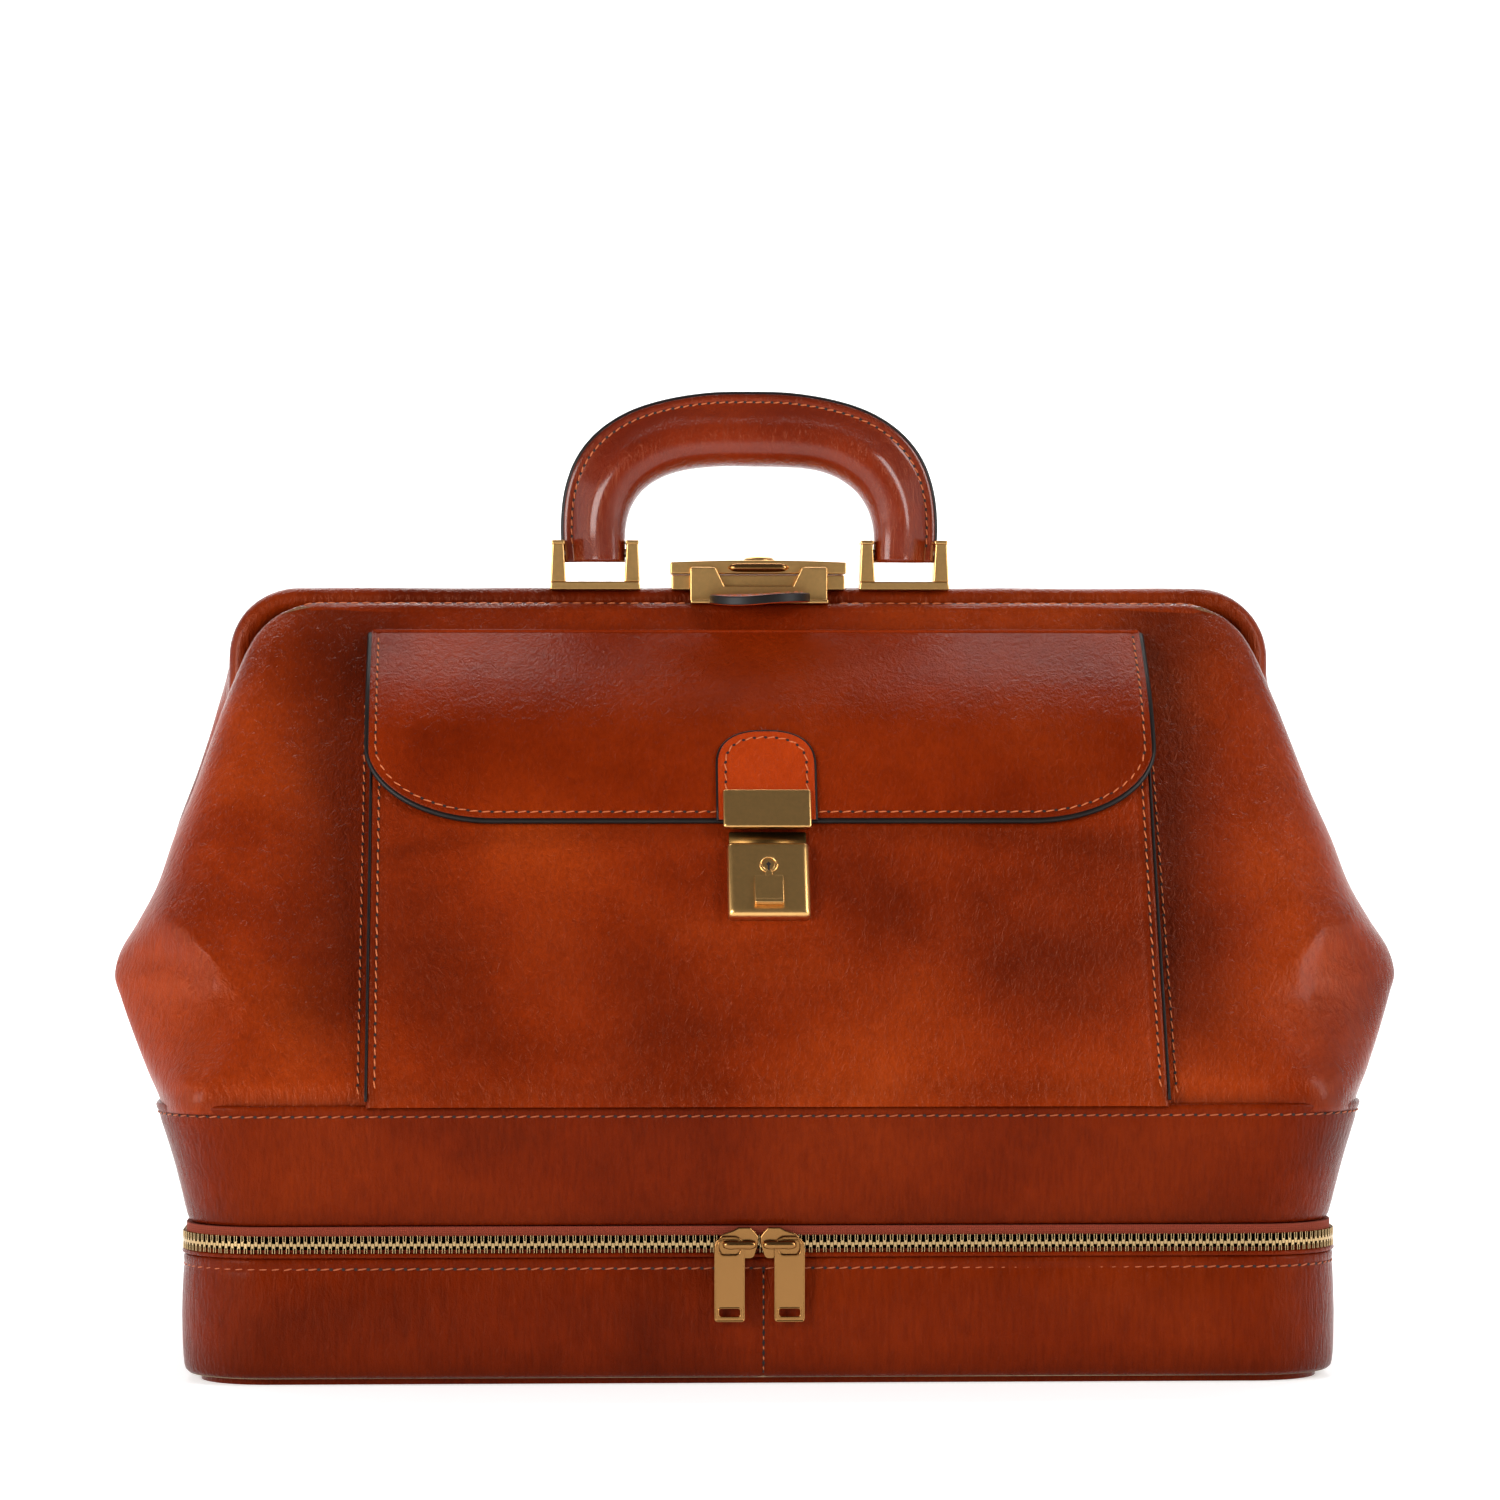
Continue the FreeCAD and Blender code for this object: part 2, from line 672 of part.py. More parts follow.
LOCK_TOP = 97.0                # of the pocket lock, along the pocket's face
KEY_AT = 12.8                   # down from the lock's top
THUMB_AT = 23.2
THUMB_PROUD = 1.6
THUMB_TRAVEL = 3.0


def build_pocket_lock():
    """The lock on the pocket's face: body, back plate, key cylinder and thumb slide."""
    width, length, depth = (dim(f"pocket_lock_{side}") for side in ("width", "length", "depth"))
    face = pocket_face
    middle = LOCK_TOP - number(length) / 2
    frame = pocket_side.multiply(at(lock_x, 0, face))
    body = plate("lock_block", width, length, depth, fixed(1.5),
                 frame.multiply(at(y=middle)))
    key_y, thumb_y = LOCK_TOP - KEY_AT, LOCK_TOP - THUMB_AT
    radius = dim("cylinder_radius")
    bore = rod("lock_bore", radius + 0.05, 4.4, (0, key_y, number(depth) - 2.1), Z_AXIS, frame)
    slot = box("lock_slot", (6.2, THUMB_TRAVEL + 5.4, 4.4),
               (0, thumb_y - THUMB_TRAVEL / 2, number(depth) - 4.0), frame)
    publish(cut("lock_block", body, bore, slot), "pocket_lock_body")
    publish(box("lock_back", (24.0, 30.0, 1.0), (0, middle, -face - 1.05), frame),
            "pocket_lock_backplate")
    cylinder = rod("key_barrel", radius, 3.8, (0, key_y, number(depth) - 1.7), Z_AXIS, frame)
    keyway = box("keyway", (1.0, 3.4, 3.0), (0, key_y - 0.6, number(depth) - 2.0), frame)
    publish(cut("key_barrel", cylinder, keyway), "lock_cylinder")
    knob = box("thumb_knob", (dim("thumb_width"), dim("thumb_length"), THUMB_PROUD),
               (0, thumb_y, number(depth) + 0.05), frame)
    stem = box("thumb_stem", (6.0, 5.0, 3.2), (0, thumb_y, number(depth) - 3.1), frame)
    lip = box("thumb_lip", (dim("thumb_width"), 1.6, 1.2),
              (0, thumb_y - number(dim("thumb_length")) / 2 + 0.8, number(depth) + 1.6), frame)
    publish(fuse("thumb", knob, stem, lip), "thumb_slide")


# ---------------------------------------------------------------- mouth frame

frame_pin_z = number(dim("frame_pin_z"))


def jaw_frame(side):
    """The tilted plane of one jaw: local y runs from the pins up to the bar."""
    y, z = number(dim(f"{side}_jaw_y")), number(dim(f"{side}_jaw_z"))
    tilt = math.degrees(math.atan2(-y, z - frame_pin_z))
    return at(0, 0, frame_pin_z, Rotation(X_AXIS, 90 + tilt)), math.hypot(y, z - frame_pin_z)


def jaw_path(half, height, corner, low):
    """The jaw's U in its own plane, from one leg over the bar to the other leg."""
    def point(x, y):
        return Vector(x, y, 0)

    shift = corner * math.sin(math.pi / 4)
    left_mid = point(-half + corner - shift, height - corner + shift)
    right_mid = point(half - corner + shift, height - corner + shift)
    edges = [
        Part.LineSegment(point(-half, low), point(-half, height - corner)),
        Part.Arc(point(-half, height - corner), left_mid, point(-half + corner, height)),
        Part.LineSegment(point(-half + corner, height), point(half - corner, height)),
        Part.Arc(point(half - corner, height), right_mid, point(half, height - corner)),
        Part.LineSegment(point(half, height - corner), point(half, low)),
    ]
    return Part.Wire([edge.toShape() for edge in edges])


def swept(path, radius):
    """A round bar along a path."""
    start = path.Edges[0].valueAt(path.Edges[0].FirstParameter)
    heading = path.Edges[0].tangentAt(path.Edges[0].FirstParameter)
    circle = Part.Wire([Part.makeCircle(radius, start, heading)])
    return path.makePipeShell([circle], True, True)


EYE = 4.0                       # thickness of the flattened leg ends
EYE_RADIUS = 4.3                # of the rear legs' round eyes
LINK_HALF = (7.0, 8.5)          # of the front legs' slotted eyes: along the leg, and across it
SLOT_HALF = (4.6, 6.4)
REAR_SEAT = (150.0, 30.0, 10.0) # pressed flat in the rear cover, under the lock and brackets


def build_jaw(side):
    """One steel jaw with its flattened, pierced leg ends, and its leather cover."""
    frame, height = jaw_frame(side)
    half, corner = number(dim(f"{side}_jaw_half")), number(dim(f"{side}_jaw_corner"))
    rod_radius, cover_radius = number(dim("jaw_rod_radius")), number(dim("jaw_cover_radius"))
    foot = number(dim("jaw_cover_foot")) - frame_pin_z
    leg_start = LINK_HALF[0] - 1.0 if side == "front" else EYE_RADIUS - 1.0
    steel = swept(jaw_path(half, height, corner, leg_start), rod_radius)
    cover_path = jaw_path(half, height, corner, foot)
    cover = swept(cover_path, cover_radius).cut(swept(cover_path, rod_radius + 0.02))
    pin = number(dim("frame_pin_radius"))
    for sign in (-1, 1):
        eye_x = sign * half - EYE / 2
        if side == "front":
            eye, hole = (Part.makeBox(EYE, 2 * along, 2 * across, Vector(eye_x, -along, -across))
                         for along, across in (LINK_HALF, SLOT_HALF))
        else:
            eye = Part.makeCylinder(EYE_RADIUS, EYE, Vector(eye_x, 0, 0), X_AXIS)
            hole = Part.makeCylinder(pin, EYE, Vector(eye_x, 0, 0), X_AXIS)
        steel = steel.fuse(eye).cut(hole)
    steel.Placement = frame
    cover.Placement = frame
    publish(shaped(f"{side}_jaw_steel", steel), f"{side}_jaw_frame")
    skin = shaped(f"{side}_jaw_skin", cover)
    if side == "rear":
        flat = box("rear_seat", REAR_SEAT, (0, dim("rear_jaw_y"), dim("seat")))
        skin = cut("rear_seat", skin, flat)
    publish(skin, f"{side}_jaw_cover")


def build_frame_pins():
    """The two pins that the jaws turn on, fixed in the rear jaw's legs."""
    inner = number(dim("front_jaw_half")) - EYE / 2 - 1.0
    outer = number(dim("rear_jaw_half")) + EYE / 2 + 1.0
    length = outer - inner
    pins = [rod(f"frame_pin_{index}", dim("frame_pin_radius"), length,
                (sign * (inner + outer) / 2, 0, dim("frame_pin_z")), X_AXIS)
            for index, sign in enumerate((-1, 1))]
    publish(fuse("frame_pins", *pins), "frame_hinge_pins")


# ---------------------------------------------------------------- top lock

SLOT_CLEAR = 0.7
HOOK_TIP = 3.0
HOOK_LOW, HOOK_HIGH = 279.6, 282.6
PRONG = 9.0
BRIDGE_LOW, BRIDGE_HIGH, STRIKE_TOP = 268.7, 275.6, 283.0
STRIKE_FACE, STRIKE_THICK = -5.2, 2.6
STRIKE_FOOT = (10.8, 1.6)       # depth and thickness
case_front = -1.0


def build_top_lock():
    """Lock case with its push button on the rear jaw; strike plate and pull tab on the front."""
    width, depth, height = (dim(f"case_{side}") for side in ("width", "depth", "height"))
    seat = number(dim("seat"))
    middle_y = case_front + number(depth) / 2
    body = box("case", (width, depth, height), (lock_x, middle_y, seat))
    well = box("case_well", (dim("button_width") + 0.3, dim("button_depth") + 0.3, 6.5),
               (lock_x, middle_y, seat + number(height) - 5.7))
    strike_half = number(dim("strike_width")) / 2
    prong_x = [lock_x + sign * (strike_half - PRONG / 2) for sign in (-1, 1)]
    slots = [box(f"case_slot_{index}", (PRONG - 1.0 + 2 * SLOT_CLEAR, 2 * (HOOK_TIP + 1.5),
                                        HOOK_HIGH - HOOK_LOW + 2 * SLOT_CLEAR),
                 (x, case_front, HOOK_LOW - SLOT_CLEAR)) for index, x in enumerate(prong_x)]
    publish(cut("case", body, well, *slots), "lock_case")
    button = plate("button_plate", dim("button_width"), dim("button_depth"), fixed(5.4),
                   fixed(5.2), at(lock_x, middle_y, seat + number(height) - 3.4))
    publish(button, "lock_button")
    back = STRIKE_FACE + STRIKE_THICK
    web = box("strike_web", (dim("strike_width"), STRIKE_THICK, STRIKE_TOP - BRIDGE_LOW),
              (lock_x, STRIKE_FACE + STRIKE_THICK / 2, BRIDGE_LOW))
    notch = box("strike_notch", (number(dim("strike_width")) - 2 * PRONG, 10.0, 20.0),
                (lock_x, STRIKE_FACE, BRIDGE_HIGH))
    hooks = [box(f"strike_hook_{index}", (PRONG - 1.0, HOOK_TIP + case_front - back + 0.5,
                                          HOOK_HIGH - HOOK_LOW),
                 (x, (back - 0.5 + case_front + HOOK_TIP) / 2, HOOK_LOW))
             for index, x in enumerate(prong_x)]
    foot_depth, foot_thick = STRIKE_FOOT
    foot = box("strike_foot", (dim("strike_width"), foot_depth, foot_thick),
               (lock_x, STRIKE_FACE + 1.0 - foot_depth / 2, BRIDGE_LOW))
    publish(fuse("strike", cut("strike_web", web, notch), foot, *hooks), "strike_plate")
    tab_back = STRIKE_FACE + 1.0 - foot_depth
    reach = dim("tab_reach")
    tab = plate("tab_plate", dim("tab_width"), reach, fixed(3.0), fixed(11.5),
                at(lock_x, tab_back - number(reach) / 2, BRIDGE_LOW), top_radius=fixed(1.0))
    publish(tab, "pull_tab")


# ---------------------------------------------------------------- handle

PIN_FIT = 0.05
POST_DEPTH = 10.0
SCREW_RADIUS = 1.2
SCREW_OFFSET = 5.0
CORE_RADIUS = 2.5
LEG_HALF = 10.0                 # half the leg's width between the bracket's posts
LEG_FLAT = 7.5                  # half the leg's depth between the bracket's posts
handle_y = number(dim("rear_jaw_y"))
handle_pin_z = number(dim("handle_pin_z"))
LEG_END = 3.6                   # below the pin


def build_bracket(side, sign):
    """A brass U whose posts carry the handle's pin."""
    x = sign * number(dim("bracket_centre"))
    width, depth, foot = dim("bracket_width"), dim("bracket_depth"), dim("bracket_foot")
    post, height, seat = dim("bracket_post"), dim("bracket_height"), dim("seat")
    base = box(f"bracket_{side}_foot", (width, depth, foot), (x, handle_y, seat))
    offset = (number(width) - number(post)) / 2
    posts = [box(f"bracket_{side}_post_{index}", (post, POST_DEPTH, height),
                 (x + way * offset, handle_y, seat)) for index, way in enumerate((-1, 1))]
    bore = rod(f"bracket_{side}_bore", dim("handle_pin_radius") + PIN_FIT, width + 2.0,
               (x, handle_y, handle_pin_z), X_AXIS)
    holes = [rod(f"bracket_{side}_hole_{index}", SCREW_RADIUS, 8.0,
                 (x + way * SCREW_OFFSET, handle_y, seat + foot), Z_AXIS)
             for index, way in enumerate((-1, 1))]
    shell = fuse(f"bracket_{side}", base, *posts)
    publish(cut(f"bracket_{side}", shell, bore, *holes), f"handle_bracket_{side}")
    return [rod(f"screw_{side}_{index}", SCREW_RADIUS, dim("bracket_foot"),
                (x + way * SCREW_OFFSET, handle_y, number(seat) + number(foot) / 2), Z_AXIS)
            for index, way in enumerate((-1, 1))]


def arch_path(half, height, corner, low):
    """The handle's arch in the XZ plane, from one leg to the other."""
    path = jaw_path(half, height, corner, low)
    path.Placement = at(0, handle_y, 0, Rotation(X_AXIS, 90))
    return path


def build_handle():
    """Steel core, padded leather cover with its stitched flange, and the two pins."""
    half, height, corner = (number(dim(f"grip_{side}")) for side in ("half", "height", "corner"))
    low = handle_pin_z - LEG_END
    roll = swept(arch_path(half, height, corner, low), number(dim("grip_radius")))
    flange_half = number(dim("flange_half"))
    outer = arch_path(flange_half, number(dim("flange_height")), number(dim("flange_corner")), low)
    inner = arch_path(half, height, corner, low)
    thick = number(dim("flange"))
    ends = [Part.LineSegment(outer.Edges[0].valueAt(outer.Edges[0].FirstParameter),
                             inner.Edges[0].valueAt(inner.Edges[0].FirstParameter)),
            Part.LineSegment(outer.Edges[-1].valueAt(outer.Edges[-1].LastParameter),
                             inner.Edges[-1].valueAt(inner.Edges[-1].LastParameter))]
    rim = Part.Wire(Part.__sortEdges__(outer.Edges + inner.Edges + [end.toShape() for end in ends]))
    flange = Part.Face(rim).extrude(Vector(0, thick, 0))
    flange.translate(Vector(0, -thick / 2, 0))
    core = swept(arch_path(half, height, corner, handle_pin_z + 4.0), CORE_RADIUS)
    cover = roll.fuse(flange).cut(core)
    pins = []
    for index, sign in enumerate((-1, 1)):
        x = sign * number(dim("bracket_centre"))
        for way in (-1, 1):
            block = Part.makeBox(12.0, 40.0, 12.0)
            block.translate(Vector(x + way * (LEG_HALF + 6.0) - 6.0, handle_y - 20.0, low - 2.0))
            cover = cover.cut(block)
            flat = Part.makeBox(40.0, 10.0, 14.0)
            flat.translate(Vector(x - 20.0, handle_y + way * (LEG_FLAT + 5.0) - 5.0, low - 4.0))
            cover = cover.cut(flat)
        width = dim("bracket_width")
        pins.append(rod(f"handle_pin_{index}", dim("handle_pin_radius"), width,
                        (x, handle_y, handle_pin_z), X_AXIS))
        bore = Part.makeCylinder(number(dim("handle_pin_radius")), number(width),
                                 Vector(x - number(width) / 2, handle_y, handle_pin_z), X_AXIS)
        cover = cover.cut(bore)
    publish(shaped("handle_padding", cover), "handle_cover")
    publish(shaped("handle_steel", core), "handle_core")
    publish(fuse("handle_pins", *pins), "handle_pins")


# ---------------------------------------------------------------- the whole bag

build_lower_compartment()
build_zip_rows()
build_waist()
build_side("front", front_side)
build_side("rear", rear_side)
build_gussets()
build_pocket()
build_flap()
build_pocket_lock()
for jaw in ("front", "rear"):
    build_jaw(jaw)
build_frame_pins()
build_top_lock()
screws = build_bracket("left", -1) + build_bracket("right", 1)
publish(fuse("screws", *screws), "bracket_screws")
build_handle()
for hand, way in (("left", -1), ("right", 1)):
    build_slider(hand, way)

doc.recompute()
for thing in doc.Objects:
    wrong = [state for state in thing.State if state in ("Invalid", "Error")]
    if wrong:
        raise RuntimeError(f"{thing.Name} is {wrong}")
for label, thing in nodes.items():
    if thing.Shape.isNull() or not thing.Shape.isValid():
        raise RuntimeError(f"{label} has no valid shape")
os.makedirs("parts", exist_ok=True)
for label, thing in nodes.items():
    thing.Shape.exportStep(f"parts/{label}.step")
    bounds = thing.Shape.BoundBox
    print(f"{label:24s} solids {len(thing.Shape.Solids)} volume {thing.Shape.Volume:10.1f}",
          f"x {bounds.XMin:.1f}..{bounds.XMax:.1f} y {bounds.YMin:.1f}..{bounds.YMax:.1f}",
          f"z {bounds.ZMin:.1f}..{bounds.ZMax:.1f}")
print(len(nodes), "sub-parts")
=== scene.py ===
"""Looks of a leather doctor bag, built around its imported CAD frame."""

from math import copysign, cos, exp, hypot, pi, radians, sin, sqrt, tan

import bpy
import numpy as np
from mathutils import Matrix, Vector


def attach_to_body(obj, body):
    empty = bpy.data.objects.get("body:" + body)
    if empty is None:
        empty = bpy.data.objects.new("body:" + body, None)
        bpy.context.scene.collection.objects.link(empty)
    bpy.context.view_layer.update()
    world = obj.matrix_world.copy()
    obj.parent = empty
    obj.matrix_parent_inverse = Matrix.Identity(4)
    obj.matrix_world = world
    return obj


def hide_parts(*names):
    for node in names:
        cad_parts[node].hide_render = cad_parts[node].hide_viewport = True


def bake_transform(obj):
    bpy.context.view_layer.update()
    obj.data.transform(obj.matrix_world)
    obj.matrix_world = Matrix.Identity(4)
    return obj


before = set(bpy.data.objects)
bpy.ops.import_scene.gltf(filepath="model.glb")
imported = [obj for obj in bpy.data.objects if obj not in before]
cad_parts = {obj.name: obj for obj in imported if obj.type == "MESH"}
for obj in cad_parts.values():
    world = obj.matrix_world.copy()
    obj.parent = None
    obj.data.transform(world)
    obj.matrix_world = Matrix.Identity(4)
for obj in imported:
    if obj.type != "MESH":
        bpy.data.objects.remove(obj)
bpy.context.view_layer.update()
noise = np.random.default_rng(7)

MM = 0.001                          # a millimetre in scene units
LEAN = radians(33.3)           # the front side's lean from upright
WEDGE = radians(4.2)           # how much steeper the pocket's face stands
PITCH = 4.2                         # from stitch to stitch
BASE_SIZE = (397.0, 240.0, 30.0)    # width, depth and corner radius of the foot
STRAIGHT = (80, 30)                 # steps along a long side and a short side
FOOT_Y, FOOT_Z = -124.0, 97.0       # the foot of the front side, at the waist band
PIVOT_Z = 200                       # the height of the ends of the jaws' legs, where they turn


# ------------------------------------------------------------------ colours and materials

def srgb(red, green, blue):
    """An 8-bit screen colour as linear values."""
    def linear(value):
        value /= 255
        return value / 12.92 if value <= 0.04045 else ((value + 0.055) / 1.055) ** 2.4

    return (linear(red), linear(green), linear(blue), 1.0)


def tinted(colour, amount):
    """A colour made darker or lighter."""
    return tuple(min(1.0, value * amount) for value in colour[:3]) + (1.0,)


class Graph:
    """A material's node tree, built node by node."""

    def __init__(self, name):
        self.material = bpy.data.materials.new(name)
        self.material.use_nodes = True
        self.tree = self.material.node_tree
        self.tree.nodes.clear()
        self.out = self.add("OutputMaterial")
        self.surface = self.add("BsdfPrincipled")
        self.link(self.surface.outputs[0], self.out.inputs[0])
        self.coordinates = self.add("TexCoord").outputs["Object"]

    def add(self, kind, **settings):
        node = self.tree.nodes.new("ShaderNode" + kind)
        for key, value in settings.items():
            setattr(node, key, value)
        return node

    def link(self, source, target):
        self.tree.links.new(source, target)

    def set(self, node, **values):
        for key, value in values.items():
            node.inputs[key.replace("_", " ")].default_value = value
        return node

    def noise(self, scale, detail=3.0, roughness=0.5, stretch=None, distortion=0.0):
        source = self.coordinates
        if stretch:
            mapping = self.add("Mapping")
            mapping.inputs["Scale"].default_value = stretch
            self.link(source, mapping.inputs[0])
            source = mapping.outputs[0]
        node = self.add("TexNoise")
        self.set(node, Scale=scale, Detail=detail, Roughness=roughness, Distortion=distortion)
        self.link(source, node.inputs["Vector"])
        return node.outputs["Fac"]

    def ramp(self, source, *stops):
        node = self.add("ValToRGB")
        elements = node.color_ramp.elements
        while len(elements) < len(stops):
            elements.new(0.5)
        for element, (position, colour) in zip(elements, stops):
            element.position = position
            element.color = colour
        self.link(source, node.inputs[0])
        return node.outputs[0]

    def feed(self, value, socket):
        if isinstance(value, bpy.types.NodeSocket):
            self.link(value, socket)
        else:
            socket.default_value = value

    def mix(self, amount, first, second, blend="MIX"):
        node = self.add("Mix", data_type="RGBA", blend_type=blend)
        for value, index in ((amount, 0), (first, 6), (second, 7)):
            self.feed(value, node.inputs[index])
        return node.outputs[2]

    def math(self, operation, first, second):
        node = self.add("Math", operation=operation)
        self.feed(first, node.inputs[0])
        self.feed(second, node.inputs[1])
        return node.outputs[0]

    def span(self, source, low, high, out_low, out_high):
        node = self.add("MapRange")
        for index, value in enumerate((low, high, out_low, out_high), start=1):
            node.inputs[index].default_value = value
        self.link(source, node.inputs[0])
        return node.outputs[0]

    def bump(self, height, strength, distance):
        node = self.add("Bump")
        node.inputs["Strength"].default_value = strength
        node.inputs["Distance"].default_value = distance
        self.link(height, node.inputs["Height"])
        self.link(node.outputs[0], self.surface.inputs["Normal"])

    def finish(self, **values):
        self.set(self.surface, **values)
        return self.material


def leather(name, mid, dark, light, gloss=0.24, streak=0.6, shine=0.34, coat=0.08, coat_ior=1.5):
    """Vegetable-tanned calf: mottled burnish, fine vertical grain and a thin glossy finish."""
    g = Graph(name)
    patches = g.noise(10.0, 2.5, 0.5, distortion=0.4)
    clouds = g.noise(21.0, 4.0, 0.55)
    flecks = g.noise(150.0, 4.0, 0.6)
    grain = g.noise(760.0, 3.0, 0.55, stretch=(1.0, 1.0, 0.13))
    pores = g.noise(1900.0, 2.0, 0.6)
    wrinkle = g.noise(330.0, 3.0, 0.6, stretch=(1.0, 1.0, 0.42), distortion=1.4)
    colour = g.ramp(patches, (0.25, dark), (0.5, mid), (0.78, light))
    depth = g.ramp(clouds, (0.25, (0.68, 0.62, 0.58, 1)), (0.5, (1, 1, 1, 1)), (0.78, (1.16, 1.22, 1.22, 1)))
    colour = g.mix(0.8, colour, depth, "MULTIPLY")
    speck = g.ramp(flecks, (0.3, (0.88, 0.85, 0.83, 1)), (0.7, (1.06, 1.08, 1.1, 1)))
    colour = g.mix(0.7, colour, speck, "MULTIPLY")
    line = g.ramp(grain, (0.3, (0.76, 0.7, 0.66, 1)), (0.62, (1.07, 1.1, 1.1, 1)))
    colour = g.mix(streak, colour, line, "MULTIPLY")
    # painted shade: where a piece's 'shade' attribute is set, the colour is mixed towards a much darker brown
    shade = g.add("Attribute", attribute_type="GEOMETRY", attribute_name="shade").outputs["Fac"]
    colour = g.mix(shade, colour, tinted(dark, 0.42))
    g.link(colour, g.surface.inputs["Base Color"])
    g.link(g.span(clouds, 0.3, 0.7, gloss - 0.04, gloss + 0.1), g.surface.inputs["Roughness"])
    height = g.math("ADD", g.math("MULTIPLY", grain, 0.6), g.math("MULTIPLY", pores, 0.35))
    height = g.math("ADD", height, g.math("MULTIPLY", wrinkle, 1.1))
    g.bump(height, 0.8, 0.0006)
    return g.finish(Specular_IOR_Level=shine, Specular_Tint=(1.0, 0.38, 0.2, 1.0), Coat_Weight=coat,
                    Coat_Roughness=0.16, Coat_IOR=coat_ior)


COGNAC = srgb(130, 38, 4)
COGNAC_DARK = srgb(84, 18, 2)
COGNAC_LIGHT = srgb(158, 56, 11)
leather_main = leather("leather", COGNAC, COGNAC_DARK, COGNAC_LIGHT)
leather_flap = leather("leather_flap", srgb(126, 36, 4), srgb(98, 23, 3), srgb(142, 46, 7),
                       0.22, 0.5, 0.16, 0.04)
leather_base = leather("leather_base", srgb(102, 26, 2), srgb(76, 16, 1), srgb(116, 35, 4),
                       0.22, 0.7, 0.13, 0.03)
leather_handle = leather("leather_handle", srgb(116, 31, 4), srgb(92, 21, 3), srgb(130, 40, 6),
                         0.2, 0.3, 0.4, 0.5, 1.6)
leather_tongue = leather("tongue_leather", srgb(166, 52, 8), srgb(148, 42, 5), srgb(180, 62, 12), 0.3, 0.3)


def plain(name, colour, roughness, metallic=0.0, mottling=0.12, grain=400.0, bump=0.0, **extra):
    """A material whose colour varies a little."""
    g = Graph(name)
    source = g.noise(grain, 4.0, 0.6)
    tints = (0.3, tinted(colour, 1 - mottling)), (0.7, tinted(colour, 1 + mottling))
    g.link(g.ramp(source, *tints), g.surface.inputs["Base Color"])
    if bump:
        g.bump(source, bump, 0.0004)
    return g.finish(Roughness=roughness, Metallic=metallic, **extra)


def metal(name, colour, roughness):
    """Satin metal with slightly uneven brushing."""
    g = Graph(name)
    cloud = g.noise(700.0, 4.0, 0.6)
    tints = (0.3, tinted(colour, 0.95)), (0.72, tinted(colour, 1.05))
    g.link(g.ramp(cloud, *tints), g.surface.inputs["Base Color"])
    g.link(g.span(cloud, 0.3, 0.7, roughness - 0.01, roughness + 0.02), g.surface.inputs["Roughness"])
    return g.finish(Metallic=1.0)


def cloth(name, colour, scale):
    """Plain-woven cloth."""
    g = Graph(name)
    warp = g.add("TexWave", bands_direction="X")
    weft = g.add("TexWave", bands_direction="Z")
    for wave in (warp, weft):
        g.set(wave, Scale=scale, Distortion=0.6, Detail=1.0)
        g.link(g.coordinates, wave.inputs["Vector"])
    weave = g.math("MULTIPLY", warp.outputs["Fac"], weft.outputs["Fac"])
    weave = g.math("ADD", weave, g.math("MULTIPLY", g.noise(900.0, 3.0), 0.5))
    g.link(g.ramp(weave, (0.15, tinted(colour, 0.62)), (0.8, colour)), g.surface.inputs["Base Color"])
    g.bump(weave, 0.5, 0.0004)
    return g.finish(Roughness=0.85, Specular_IOR_Level=0.3)


brass = metal("brass", srgb(230, 180, 112), 0.29)
# a darker copy of the brass: painted shade for the recessed band under the hasp
brass_painted_shade = metal("brass_painted_shade", srgb(120, 88, 46), 0.34)
zip_brass = metal("zip_brass", srgb(158, 114, 66), 0.2)
zip_metal = metal("zip_metal", srgb(190, 160, 114), 0.2)
steel = metal("steel", srgb(150, 148, 144), 0.3)
edge_paint = plain("edge_paint", srgb(19, 13, 11), 0.42, mottling=0.3, grain=160.0, Specular_IOR_Level=0.25)
thread = plain("thread", srgb(194, 102, 52), 0.6, mottling=0.25, grain=1200.0)
thread_dull = plain("thread_dull", srgb(168, 82, 40), 0.6, mottling=0.25, grain=1200.0)
# painted shade: flat dark discs stand in for the shadow inside the needle holes
hole = plain("needle_hole", srgb(20, 9, 6), 0.8)
board = plain("board", srgb(126, 104, 78), 0.85, mottling=0.2, bump=0.2)
sole = leather("sole_leather", srgb(112, 40, 14), srgb(78, 24, 8), srgb(128, 50, 20), 0.42)
lining = cloth("lining", srgb(120, 84, 58), 260.0)
tape = cloth("zip_tape", srgb(134, 50, 26), 420.0)
# painted shade: the keyway's opening is a flat dark plate
keyhole = plain("keyhole", srgb(24, 15, 9), 0.6)


# ------------------------------------------------------------------ meshes

def new_object(name, data):
    """An object in the scene's collection."""
    item = bpy.data.objects.new(name, data)
    bpy.context.collection.objects.link(item)
    return item


def attach(piece, body, slot, *nodes):
    """Fixes a piece to its body, in place of the CAD nodes named; the slot is not used."""
    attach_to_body(piece, body)
    if nodes:
        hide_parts(*nodes)


